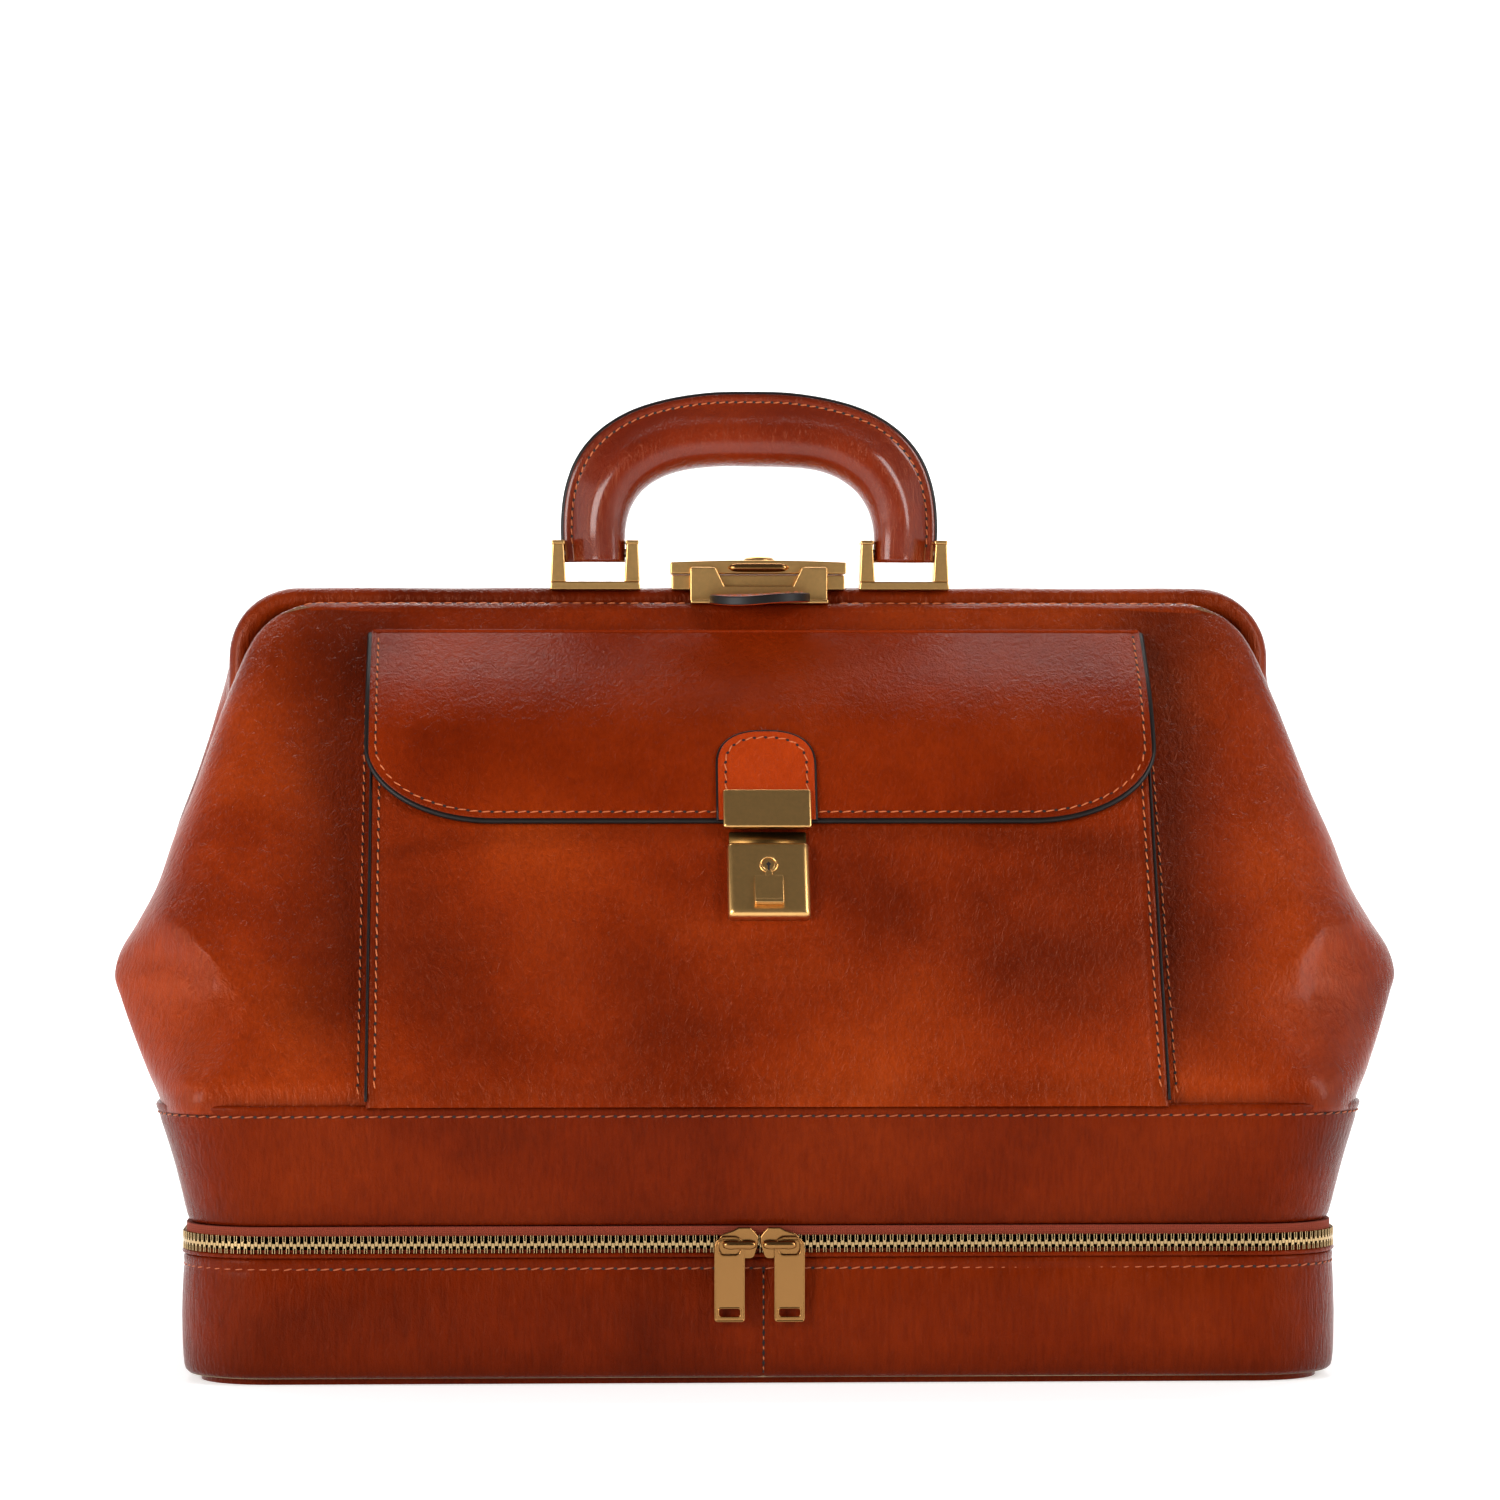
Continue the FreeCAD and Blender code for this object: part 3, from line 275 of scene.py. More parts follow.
class Pile:
    """Vertices in millimetres and faces, gathered into one object."""

    def __init__(self):
        self.points, self.faces, self.slots = [], [], []

    def add(self, points, faces, slot=0):
        start = len(self.points)
        self.points.extend([tuple(map(float, point)) for point in points])
        self.faces.extend([tuple(start + index for index in face) for face in faces])
        self.slots.extend([slot] * len(faces))

    def join(self, other, slot=0):
        self.add(other.points, other.faces, slot)

    def close_ends(self, count, columns):
        """Caps a pile of count closed rows at its first and last row."""
        last = (count - 1) * columns
        self.faces += [tuple(range(columns))[::-1], tuple(range(last, last + columns))]
        self.slots += [0, 0]

    def make(self, name, *materials, smooth=True, shade=None):
        mesh = bpy.data.meshes.new(name)
        mesh.from_pydata([(x * MM, y * MM, z * MM) for x, y, z in self.points], [], self.faces)
        for material in materials:
            mesh.materials.append(material)
        mesh.polygons.foreach_set("material_index", self.slots)
        mesh.polygons.foreach_set("use_smooth", [smooth] * len(self.faces))
        if shade is not None:
            layer = mesh.attributes.new("shade", "FLOAT", "POINT")
            layer.data.foreach_set("value", np.asarray(shade, np.float32))
        mesh.update()
        return new_object(name, mesh)


def grid_faces(rows, columns, wrap=False):
    """Quads between neighbouring rows; wrap joins the last column to the first."""
    faces = []
    for row in range(rows - 1):
        for column in range(columns if wrap else columns - 1):
            after = (column + 1) % columns
            faces.append((row * columns + column, row * columns + after,
                          (row + 1) * columns + after, (row + 1) * columns + column))
    return faces


def sheet_of(rows, wrap=False, slot=0):
    """A pile holding one grid of points, as (rows, columns, 3)."""
    rows = np.asarray(rows, float)
    pile = Pile()
    pile.add(rows.reshape(-1, 3), grid_faces(rows.shape[0], rows.shape[1], wrap), slot)
    return pile


def smooth_curve(*knots):
    """A smooth function through (position, value) knots."""
    xs = np.array([knot[0] for knot in knots], float)
    ys = np.array([knot[1] for knot in knots], float)
    steps = np.diff(ys) / np.diff(xs)
    slopes = np.concatenate([[steps[0]], (steps[:-1] + steps[1:]) / 2, [steps[-1]]])
    flat = np.concatenate([[False], steps[:-1] * steps[1:] <= 0, [False]])
    slopes[flat] = 0

    def value(at):
        at = np.clip(at, xs[0], xs[-1])
        index = np.clip(np.searchsorted(xs, at, side="right") - 1, 0, len(xs) - 2)
        width = xs[index + 1] - xs[index]
        t = (at - xs[index]) / width
        return ((2 * t**3 - 3 * t**2 + 1) * ys[index] + (t**3 - 2 * t**2 + t) * width * slopes[index]
                + (3 * t**2 - 2 * t**3) * ys[index + 1] + (t**3 - t**2) * width * slopes[index + 1])

    return value


def soften(piece, width, segments=2, angle=35):
    """Rounds a piece's sharp edges."""
    bevel = piece.modifiers.new("soft_edges", "BEVEL")
    bevel.width = width * MM
    bevel.segments = segments
    bevel.limit_method = "ANGLE"
    bevel.angle_limit = radians(angle)
    bevel.harden_normals = True
    return piece


def side(up, off=0.0):
    """(y, z) of a point on the front side's slope: up it, and off it."""
    return (FOOT_Y + up * sin(LEAN) - off * cos(LEAN), FOOT_Z + up * cos(LEAN) + off * sin(LEAN))


POCKET_LEAN = LEAN - WEDGE
POCKET_FOOT = side(2.0, 0.8)


def on_pocket(along, off=0.0):
    """(y, z) of a point on the pocket's slope."""
    return (POCKET_FOOT[0] + along * sin(POCKET_LEAN) - off * cos(POCKET_LEAN),
            POCKET_FOOT[1] + along * cos(POCKET_LEAN) + off * sin(POCKET_LEAN))


POCKET_NORMAL = np.array([0.0, -cos(POCKET_LEAN), sin(POCKET_LEAN)])
SIDE_NORMAL = np.array([0.0, -cos(LEAN), sin(LEAN)])


def unit(vector):
    vector = np.asarray(vector, float)
    return vector / max(np.linalg.norm(vector), 1e-9)


def run_lengths(points):
    """The distance along a path at each of its points."""
    return np.concatenate([[0], np.cumsum(np.linalg.norm(np.diff(points, axis=0), axis=1))])


def sample(values, lengths, at):
    """Each column of the values, read at a distance along their path."""
    return np.array([np.interp(at, lengths, column) for column in values.T])


def directions(line):
    """Unit tangents along a line."""
    tangents = np.gradient(line, axis=0)
    return tangents / np.linalg.norm(tangents, axis=1)[:, None]


def smooth_path(knots, count):
    """Points on a smooth path through flat knots, and the distance along it at each."""
    knots = np.array(knots, float)
    steps = run_lengths(knots)
    fine = np.linspace(0, steps[-1], count)
    return fine, np.column_stack([smooth_curve(*zip(steps, column))(fine) for column in knots.T])


# ------------------------------------------------------------------ stitches and tubes

def stitches(name, path, normals, body, pitch=PITCH, closed=False, lift=0.12, yarn=None, skip=None,
             slant=9.0, width=0.56, blend_to=None):
    """A run of slanted stitches with their needle holes, along a path of points in millimetres."""
    path, normals = np.asarray(path, float), np.asarray(normals, float)
    if closed:
        path = np.vstack([path, path[:1]])
        normals = np.vstack([normals, normals[:1]])
    lengths = run_lengths(path)
    count = max(1, round(lengths[-1] / pitch))
    step = lengths[-1] / count
    pile = Pile()
    sides = 6
    faces = grid_faces(5, sides, True) + [tuple(range(sides))[::-1], tuple(range(4 * sides, 5 * sides))]
    turn = radians(slant)
    for index in range(count):
        start, end = index * step, (index + 1) * step
        middle = sample(path, lengths, (start + end) / 2)
        if skip and skip(middle):
            continue
        normal = unit(sample(normals, lengths, (start + end) / 2))
        along = unit(sample(path, lengths, end) - sample(path, lengths, start))
        across = unit(np.cross(normal, along))
        jitter = turn + noise.normal(0, 0.04)
        ahead = cos(jitter) * along + sin(jitter) * across
        aside = unit(np.cross(normal, ahead))
        ring_points = []
        half = step * 0.36
        for share, size in ((-1.0, 0.25), (-0.72, 0.8), (0.0, 1.0), (0.72, 0.8), (1.0, 0.25)):
            rise = lift * (1 - share * share)
            for corner in range(sides):
                angle = 2 * pi * corner / sides
                ring_points.append(middle + ahead * half * share + normal * rise
                                   + aside * cos(angle) * width / 2 * size
                                   + normal * sin(angle) * width * 0.42 * size)
        pile.add(ring_points, faces, 0)
        spot = sample(path, lengths, end)
        normal = unit(sample(normals, lengths, end))
        across = unit(np.cross(normal, along))
        # painted shade: a dark disc marks the needle hole
        disc = [spot + normal * 0.06 + along * cos(2 * pi * corner / 8) * 0.62
                + across * sin(2 * pi * corner / 8) * 0.5 for corner in range(8)]
        pile.add(disc, [tuple(range(8))], 1)
    piece = pile.make(name, yarn or thread, hole)
    if blend_to:
        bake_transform(piece)
    else:
        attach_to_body(piece, body)
    return piece


def tube(path, radius, sides=14, up=(0, 1, 0), section=None, cap=True):
    """A pile with a tube swept along an open path; radius may be one number or one per point."""
    path = np.asarray(path, float)
    tangents = np.gradient(path, axis=0)
    radii = np.broadcast_to(radius, (len(path),))
    if section is None:
        section = [(cos(a), sin(a)) for a in np.linspace(0, 2 * pi, sides, endpoint=False)]
    rings = []
    for point, tangent, size in zip(path, tangents, radii):
        tangent = unit(tangent)
        first = unit(np.asarray(up, float) - np.dot(up, tangent) * tangent)
        second = np.cross(tangent, first)
        rings.append([point + size * (a * first + b * second) for a, b in section])
    rings = np.array(rings)
    pile = sheet_of(rings, wrap=True)
    if cap:
        pile.close_ends(*rings.shape[:2])
    return pile


def rounded_box(size, centre, axes=None, slot=0, pile=None):
    """A box on three axes, added to a pile."""
    pile = pile or Pile()
    axes = np.eye(3) if axes is None else np.asarray(axes, float)
    half = np.asarray(size, float) / 2
    corners = [np.asarray(centre, float) + axes.T @ (half * np.array(sign))
               for sign in ((-1, -1, -1), (1, -1, -1), (1, 1, -1), (-1, 1, -1),
                            (-1, -1, 1), (1, -1, 1), (1, 1, 1), (-1, 1, 1))]
    faces = [(0, 3, 2, 1), (4, 5, 6, 7), (0, 1, 5, 4), (1, 2, 6, 5), (2, 3, 7, 6), (3, 0, 4, 7)]
    pile.add(corners, faces, slot)
    return pile


def prism_of(outline, low, high, place, slots=(0, 0, 0), holes=()):
    """A pile with a flat plate: outline (a, b) from depth low to high; place maps (a, b, c)."""
    pile = Pile()
    if not holes:
        count = len(outline)
        points = [place(a, b, depth) for depth in (low, high) for a, b in outline]
        pile.add(points, [tuple(range(count))[::-1]], slots[1])
        pile.faces += [tuple(range(count, 2 * count))] + grid_faces(2, count, True)
        pile.slots += [slots[0]] + [slots[2]] * count
        return pile
    fill = bpy.data.curves.new("outline", "CURVE")
    fill.dimensions = "2D"
    fill.fill_mode = "BOTH"
    fill.extrude = (high - low) / 2
    for loop in (outline, *holes):
        spline = fill.splines.new("POLY")
        spline.points.add(len(loop) - 1)
        for point, (a, b) in zip(spline.points, loop):
            point.co = (a, b, 0, 1)
        spline.use_cyclic_u = True
    holder = new_object("outline", fill)
    bpy.context.view_layer.update()
    mesh = bpy.data.meshes.new_from_object(holder)
    middle = (high + low) / 2
    points = [place(v.co.x, v.co.y, v.co.z + middle) for v in mesh.vertices]
    pile.add(points, [tuple(p.vertices) for p in mesh.polygons], slots[0])
    bpy.data.objects.remove(holder)
    bpy.data.curves.remove(fill)
    bpy.data.meshes.remove(mesh)
    return pile


def ellipse_corner(centre, half_x, half_y, start, end, steps=8):
    """Points on an elliptical arc, angles in degrees."""
    return [(centre[0] + half_x * cos(radians(a)), centre[1] + half_y * sin(radians(a)))
            for a in np.linspace(start, end, steps)]


def rounded_outline(left, right, low, high, radius, steps=6):
    """A rounded rectangle, anticlockwise."""
    radius = min(radius, (right - left) / 2 - 0.01, (high - low) / 2 - 0.01)
    corners = ((right - radius, low + radius), (right - radius, high - radius),
               (left + radius, high - radius), (left + radius, low + radius))
    return [point for turn, corner in enumerate(corners)
            for point in ellipse_corner(corner, radius, radius, 90 * turn - 90, 90 * turn, steps)]


def loop_plan(width, depth, radius, corner_steps=14):
    """A rounded rectangle seen from above, as points and outward normals, from the front middle."""
    points, normals = [], []
    half_x, half_y = width / 2, depth / 2
    flat_x, flat_y = half_x - radius, half_y - radius
    runs = (                    # a straight side with its normal, or a corner's centre with its first angle
        ((0, -half_y), (flat_x, -half_y), (0, -1)),
        ((flat_x, -flat_y), -90, None),
        ((half_x, -flat_y), (half_x, flat_y), (1, 0)),
        ((flat_x, flat_y), 0, None),
        ((flat_x, half_y), (-flat_x, half_y), (0, 1)),
        ((-flat_x, flat_y), 90, None),
        ((-half_x, flat_y), (-half_x, -flat_y), (-1, 0)),
        ((-flat_x, -flat_y), 180, None),
        ((-flat_x, -half_y), (0, -half_y), (0, -1)),
    )
    for start, end, normal in runs:
        if normal is None:
            for angle in np.linspace(end, end + 90, corner_steps, endpoint=False):
                a = radians(angle)
                points.append((start[0] + radius * cos(a), start[1] + radius * sin(a)))
                normals.append((cos(a), sin(a)))
        else:
            steps = STRAIGHT[0] if abs(normal[1]) else STRAIGHT[1]
            if start[0] == 0 or end[0] == 0:
                steps = steps // 2
            for share in np.linspace(0, 1, steps, endpoint=False):
                points.append([start[k] + share * (end[k] - start[k]) for k in range(2)])
                normals.append(normal)
    return np.array(points), np.array(normals)


def ring_loft(profile, plan, wobble=None):
    """Closed rows of points: profile is (height, outset) pairs, plan gives size at a height."""
    rows = []
    for height, outset in profile:
        points, normals = loop_plan(*plan(height))
        moved = points + normals * outset
        row = np.column_stack([moved, np.full(len(moved), height)])
        if wobble is not None:
            row = wobble(row, np.column_stack([normals, np.zeros(len(normals))]))
        rows.append(row)
    return np.array(rows)


# ------------------------------------------------------------------ lower compartment

def base_plan(height):
    """The wall is upright, so its plan is the same at every height."""
    return BASE_SIZE


def base_wobble(row, normals):
    """Hand-made unevenness, and the seam down the front and the rear."""
    x, y, z = row.T
    wave = 0.35 * np.sin(x * 0.031 + y * 0.05 + 1.3) * np.sin(z * 0.09 + x * 0.012)
    seam = -0.75 * np.exp(-(x / 0.9) ** 2) + 0.35 * np.exp(-((np.abs(x) - 2.6) / 1.6) ** 2)
    seam *= np.abs(normals[:, 1]) > 0.9
    return row + normals * (wave + seam)[:, None]


# Profiles are (height, outset) steps up the leather.
WALL_PROFILE = [(2.5, -9.0), (2.45, -2.4), (2.7, -1.4), (3.5, -0.6), (5.0, -0.15), (8.0, 0.2), (14.0, 0.5),
                (22.0, 0.7), (30.0, 0.5), (36.0, 0.2), (38.4, 0.0), (39.7, -0.28), (41.0, 0.0), (42.4, 0.1),
                (43.3, -0.4), (43.5, -1.6)]


def build_base():
    rows = ring_loft(WALL_PROFILE, base_plan, base_wobble)
    # painted shade: the wall is darkened at its foot and under the welt
    shade = []
    for height, _ in WALL_PROFILE:
        edge = max(0.0, 1 - (height - 2.4) / 9) * 0.5 + max(0.0, (height - 40) / 4) * 0.25
        shade += [edge] * rows.shape[1]
    wall = sheet_of(rows, wrap=True).make("base_wall", leather_base, shade=shade)
    attach(wall, "base", "leather", "base_wall_left", "base_wall_right")
    welt_profile = [(43.4, -2.0), (43.45, 0.1), (43.8, 0.5), (44.4, 0.6), (44.9, 0.2), (45.1, -0.6),
                    (45.1, -2.4)]
    welt = sheet_of(ring_loft(welt_profile, base_plan), wrap=True).make("base_welt", leather_base)
    attach(welt, "base", "leather", "base_top_welt")
    points, normals = loop_plan(*BASE_SIZE)
    path = np.column_stack([points - normals * 0.25, np.full(len(points), 39.7)])
    out = np.column_stack([normals, np.zeros(len(normals))])
    stitches("base_stitches", path, out, "base", closed=True, yarn=thread_dull)
    heights, outsets = zip(*WALL_PROFILE[3:])
    seam = [(0.0, -119.35 - np.interp(z, heights, outsets) - 0.35 * sin(z * 0.09), z)
            for z in np.linspace(4.0, 38.5, 14)]
    stitches("base_seam_front", seam, [(0, -1, 0)] * 14, "base", pitch=3.4, slant=0, width=0.5, yarn=thread)
    # painted shadow: a thin dark tube stands in for the shade in the seam's groove, which the wall's mesh is
    # too coarse to show
    line = tube(seam, 0.28, 6).make("base_seam_painted_shadow", edge_paint)
    attach(line, "base", "leather")


def band_plan(height):
    share = (height - 54.0) / 41.0
    return 392.0 + 24.0 * share, 236.0 + 12.0 * share, 28.0 + 6.0 * share


def band_wobble(row, normals):
    x, y, z = row.T
    wave = 0.45 * np.sin(x * 0.027 + 0.8 + y * 0.03) * np.sin((z - 54) * 0.075)
    pucker = 0.14 * np.sin(x * 2 * pi / PITCH / 2) * np.exp(-((z - 91.6) / 1.8) ** 2)
    return row + normals * (wave + pucker)[:, None]


BAND_PROFILE = [(56.0, -2.2), (54.6, -1.5), (54.1, -0.5), (54.7, 0.3), (56.5, 0.6), (60.0, 0.6), (66.0, 0.4),
                (73.0, 0.2), (80.0, 0.2), (86.0, 0.3), (89.6, 0.3), (91.6, -0.05), (93.2, 0.35), (94.4, 0.3),
                (95.2, -0.3), (95.5, -1.1), (95.2, -2.0), (93.5, -2.6), (88.0, -2.8)]


def build_band():
    rows = ring_loft(BAND_PROFILE, band_plan, band_wobble)
    # painted shade: the band is darkened towards its lower edge, where it turns under
    shade = []
    for height, _ in BAND_PROFILE:
        shade += [max(0.0, 1 - (height - 54) / 8) * 0.35] * rows.shape[1]
    band = sheet_of(rows, wrap=True).make("waist_band_leather", leather_base, shade=shade)
    attach(band, "upper", "leather", "waist_band")
    points, normals = loop_plan(*band_plan(91.8))
    path = np.column_stack([points + normals * 0.15, np.full(len(points), 91.7)])
    tilt = radians(8.5)
    out = np.column_stack([normals * cos(tilt), np.full(len(points), -sin(tilt))])
    stitches("band_stitches", path, out, "upper", closed=True, yarn=thread_dull)


# ------------------------------------------------------------------ zip

def zip_path():
    """The zip's run round the bag, from the rear left, over the front, to the rear right."""
    points, normals = loop_plan(397.4, 240.4, 30.0)
    order = np.arange(len(points))
    start = int(np.argmin(np.hypot(points[:, 0] + 170, points[:, 1] - 120.2)))
    order = np.roll(order, -start)
    points, normals = points[order], normals[order]
    keep = ~((points[:, 1] > 110) & (np.abs(points[:, 0]) < 170.5))
    return points[keep], normals[keep]


def build_teeth():
    points, normals = zip_path()
    lengths = run_lengths(points)
    pitch = 2.4
    count = int(lengths[-1] / pitch)
    for row, body, node, base, leg, head, phase in (
            ("lower", "base", "zip_teeth_lower", 45.0, 47.0, 48.3, 0.0),
            ("upper", "upper", "zip_teeth_upper", 51.2, 49.0, 47.7, 0.5)):
        pile = Pile()
        for index in range(count):
            at = (index + phase) * pitch
            if at > lengths[-1] - 1:
                continue
            out = unit(sample(normals, lengths, at))
            across = np.array([-out[1], out[0], 0.0])
            outward = np.array([*out, 0.0])
            up = np.array([0, 0, 1.0])
            axes = [across, outward, up]
            centre = np.array([*sample(points, lengths, at), 0.0])
            for offset in (-0.42, 0.42):
                middle = centre + across * offset - outward * 0.7 + up * (base + leg) / 2
                rounded_box((0.36, 1.6, abs(leg - base)), middle, axes, pile=pile)
            middle = centre - outward * 1.1 + up * (leg + head) / 2
            rounded_box((1.15, 2.4, abs(head - leg) + 0.4), middle, axes, pile=pile)
        teeth = pile.make(f"teeth_{row}", zip_metal)
        soften(teeth, 0.14, 1)
        attach(teeth, body, "zip_brass", node)


# The slider's outline from its middle, as (along the zip, up).
SLIDER = [(-6.9, 1.2), (-5.4, 3.0), (-1.9, 4.2), (0.2, 5.3), (4.2, 5.3), (6.7, 2.4), (7.0, 0.3), (5.5, -4.6),
          (4.6, -5.3), (-1.8, -5.3), (-5.6, -4.4), (-6.9, -1.6)]


def build_slider(side_name, centre, way):
    """One slider: shaped plates, crown bar and posts."""
    def place(a, b, c):
        return centre + way * a, -120.8 - c, 48.5 + b

    pile = prism_of(SLIDER if way > 0 else SLIDER[::-1], 0.0, 1.8, place)
    back = [(a * 0.86, b * 0.8) for a, b in SLIDER]
    inner = prism_of(back if way > 0 else back[::-1], -4.6, -3.5, place)
    pile.join(inner)
    rounded_box((1.6, 5.6, 8.0), (centre + way * 5.2, -118.4, 48.5), pile=pile)
    body = pile.make(f"slider_body_{side_name}", zip_brass)
    soften(body, 0.5, 2)
    crown = Pile()
    crown_x = centre + way * 0.4
    thickness = [0.75, 1.2, 1.45, 1.5, 1.4, 1.35]
    oval = [(sin(a), 0.8 * cos(a)) for a in np.linspace(0, 2 * pi, 14, endpoint=False)]
    bar = [(crown_x + share * 11.2, -125.4, 48.0) for share in np.linspace(-0.5, 0.5, 13)]
    crown.join(tube(bar, thickness + [1.35] + thickness[::-1], 12, up=(0, 0, 1), section=oval))
    for offset in (-4.4, 4.4):
        rounded_box((1.8, 3.0, 2.2), (crown_x + offset, -123.8, 48.0), pile=crown)
    bridge = crown.make(f"slider_crown_{side_name}", zip_brass)
    attach(body, f"{side_name}_slider", "zip_brass", f"slider_{side_name}")
    attach(bridge, f"{side_name}_slider", "zip_brass")


def build_pull(side_name, centre):
    """One pull: a tag with an eye over the crown, a slot near its foot, and a raised rim round each."""
    half, top, foot, large, small = 4.9, 50.6, 22.1, 3.6, 0.8
    outline = (ellipse_corner((centre + half - large, top - large), large, large, 0, 90, 7)
               + ellipse_corner((centre - half + large, top - large), large, large, 90, 180, 7)
               + ellipse_corner((centre - half + small, foot + small), small, small, 180, 270, 4)
               + ellipse_corner((centre + half - small, foot + small), small, small, 270, 360, 4))
    eye = rounded_outline(centre - 3.9, centre + 3.9, 44.3, 49.7, 2.0)
    slot = rounded_outline(centre - 3.8, centre + 3.8, 23.4, 26.6, 1.0)
    pile = prism_of(outline, 123.2, 124.5, lambda a, b, c: (a, -c, b), holes=(eye, slot))
    for loop in (outline, slot, eye):
        ring = [(x, -124.5, z) for x, z in loop + loop[:1]]
        pile.join(tube(ring, 0.33, 6, up=(0, -1, 0), cap=False))
    pull = pile.make(f"pull_tag_{side_name}", zip_brass)
    soften(pull, 0.25, 2)
    attach(pull, f"{side_name}_pull", "zip_brass", f"pull_{side_name}")


# ------------------------------------------------------------------ leather sides and gussets

# Each curve gives one measure of the side's section by height.
HALF_WIDTH = smooth_curve((92, 205.5), (97, 207), (105, 210.8), (118, 216.6), (130, 221.5), (138, 224.2),
                          (146, 222.6), (156, 216.8), (168, 210.5), (185, 205), (202, 198.5), (218, 193.2),
                          (230, 189.2), (245, 183.6), (252, 180.6), (258, 177), (262, 173), (265, 168.8),
                          (267.5, 163))
CORNER_X = smooth_curve((92, 16), (100, 20), (110, 31), (120, 40), (131, 44), (138, 41), (144, 35), (150, 27),
                        (157, 22), (168, 23), (185, 22), (215, 17), (240, 12), (256, 12), (267.5, 14))
FACET = smooth_curve((95, 0), (108, 0.5), (122, 0.8), (142, 0.9), (152, 0.5), (162, 0.1), (175, 0))
CORNER_Y = smooth_curve((92, 32), (110, 30), (145, 32), (170, 26), (200, 20), (229, 14), (245, 10), (258, 6),
                        (264, 3), (267.5, 1.4))
VALLEY_X = smooth_curve((92, 203.5), (100, 203), (120, 197), (145, 188), (175, 170), (200, 158), (215, 156),
                        (232, 166), (245, 172))
EAR_CREASE = [(-207, 158), (-199.5, 153), (-192.5, 150.7), (-188.5, 146), (-186.7, 141), (-188.8, 130.5),
              (-192.6, 120), (-197, 106)]
SKIN_ROWS = 132


def face_y(z):
    """The front side's outer face, tucked in behind the waist band at its foot."""
    slope = FOOT_Y + (z - FOOT_Z) * tan(LEAN)
    tuck = np.clip((106.0 - z) / 13.0, 0, 1)
    return slope + tuck**2 * 5.6


def polyline_distance(x, z, line):
    """Distance to a polyline."""
    best = np.full(np.shape(x), 1e9)
    for (ax, az), (bx, bz) in zip(line[:-1], line[1:]):
        dx, dz = bx - ax, bz - az
        t = np.clip(((x - ax) * dx + (z - az) * dz) / (dx * dx + dz * dz), 0, 1)
        best = np.minimum(best, np.hypot(x - ax - t * dx, z - az - t * dz))
    return best


def skin_half(z, sign, bar):
    """One half of a section at a height: the middle of the face out to the ridge and in to the valley."""
    ridge, rx, ry = HALF_WIDTH(z), CORNER_X(z) * (1.0 if sign < 0 else 1.15), CORNER_Y(z)
    power = 1 + FACET(z) * (0.6 if sign < 0 else 0.35)
    front = face_y(z)
    flat = np.linspace(0, ridge - rx, 62)
    points = [(x, front) for x in flat]
    for angle in np.linspace(0, pi / 2, 22)[1:]:
        points.append((ridge - rx + rx * sin(angle) ** power,
                       front + ry * (1 - max(0.0, cos(angle)) ** power)))
    bar_y, bar_z, half, corner = bar
    if z < PIVOT_Z:
        end = (float(VALLEY_X(z)), 0.0)
    else:
        lean = -bar_y * (z - PIVOT_Z) / (bar_z - PIVOT_Z)
        if z <= bar_z - corner:
            bar_x = half
        else:
            bar_x = half - corner + sqrt(max(0.0, corner**2 - (z - bar_z + corner) ** 2))
        share = min(1.0, (z - PIVOT_Z) / 32)
        end = (VALLEY_X(z) * (1 - share) + bar_x * share, -lean - 1.0 * share)
        end = (min(end[0], ridge - 1.5), min(end[1], 0.0))
    start = (ridge, front + ry)
    run = max(0.5, end[1] - start[1])
    handle_a = (start[0], start[1] + run * 0.42)
    handle_b = (end[0] + 2.0, end[1] - run * 0.42)
    for t in np.linspace(0, 1, 26)[1:]:
        mix = ((1 - t) ** 3, 3 * (1 - t) ** 2 * t, 3 * (1 - t) * t * t, t**3)
        points.append(tuple(mix[0] * start[k] + mix[1] * handle_a[k] + mix[2] * handle_b[k] + mix[3] * end[k]
                            for k in range(2)))
    return np.array([(sign * x, y, z) for x, y in points])


def skin_rows(bar, rear):
    """Both halves of every section of one leather side."""
    heights = np.concatenate([np.linspace(92.5, 250, SKIN_ROWS - 26), np.linspace(251, 267.4, 26)])
    rows = []
    for z in heights:
        rows.append(np.vstack([skin_half(z, -1, bar)[::-1], skin_half(z, 1, bar)[1:]]))
    rows = np.array(rows)
    x, y, z = rows[..., 0], rows[..., 1], rows[..., 2]
    move = np.zeros(x.shape)
    outer = y < face_y(z) + 26
    for way, strength in ((1, 1.0), (-1, 0.7)):
        gap = polyline_distance(way * x, z, EAR_CREASE)
        move += strength * 0.8 * np.exp(-(gap / 4.5) ** 2) * outer
        hollow = np.exp(-((way * x + 205) / 8) ** 2 - ((z - 148) / 7) ** 2)
        move += -strength * 1.8 * hollow * outer
        brow = np.exp(-((way * x + 196 - (z - 190) * 0.2) / 7) ** 2 - ((z - 190) / 30) ** 2)
        move += strength * 0.8 * brow * outer
    drift = (0.9 * np.sin(x * 0.021 + 0.6) * np.sin(z * 0.034 + 0.4)
             + 0.45 * np.sin(x * 0.063 + z * 0.02) * np.sin(z * 0.071 + 1.1))
    settle = np.clip((z - 97) / 20, 0, 1) * np.clip((262 - z) / 18, 0, 1)
    away = np.clip((np.abs(x) - 146) / 14, 0, 1) if not rear else 1.0
    move += drift * settle * away
    rows[..., 1] += -move * cos(LEAN)
    rows[..., 2] += move * sin(LEAN) * 0.6
    return rows


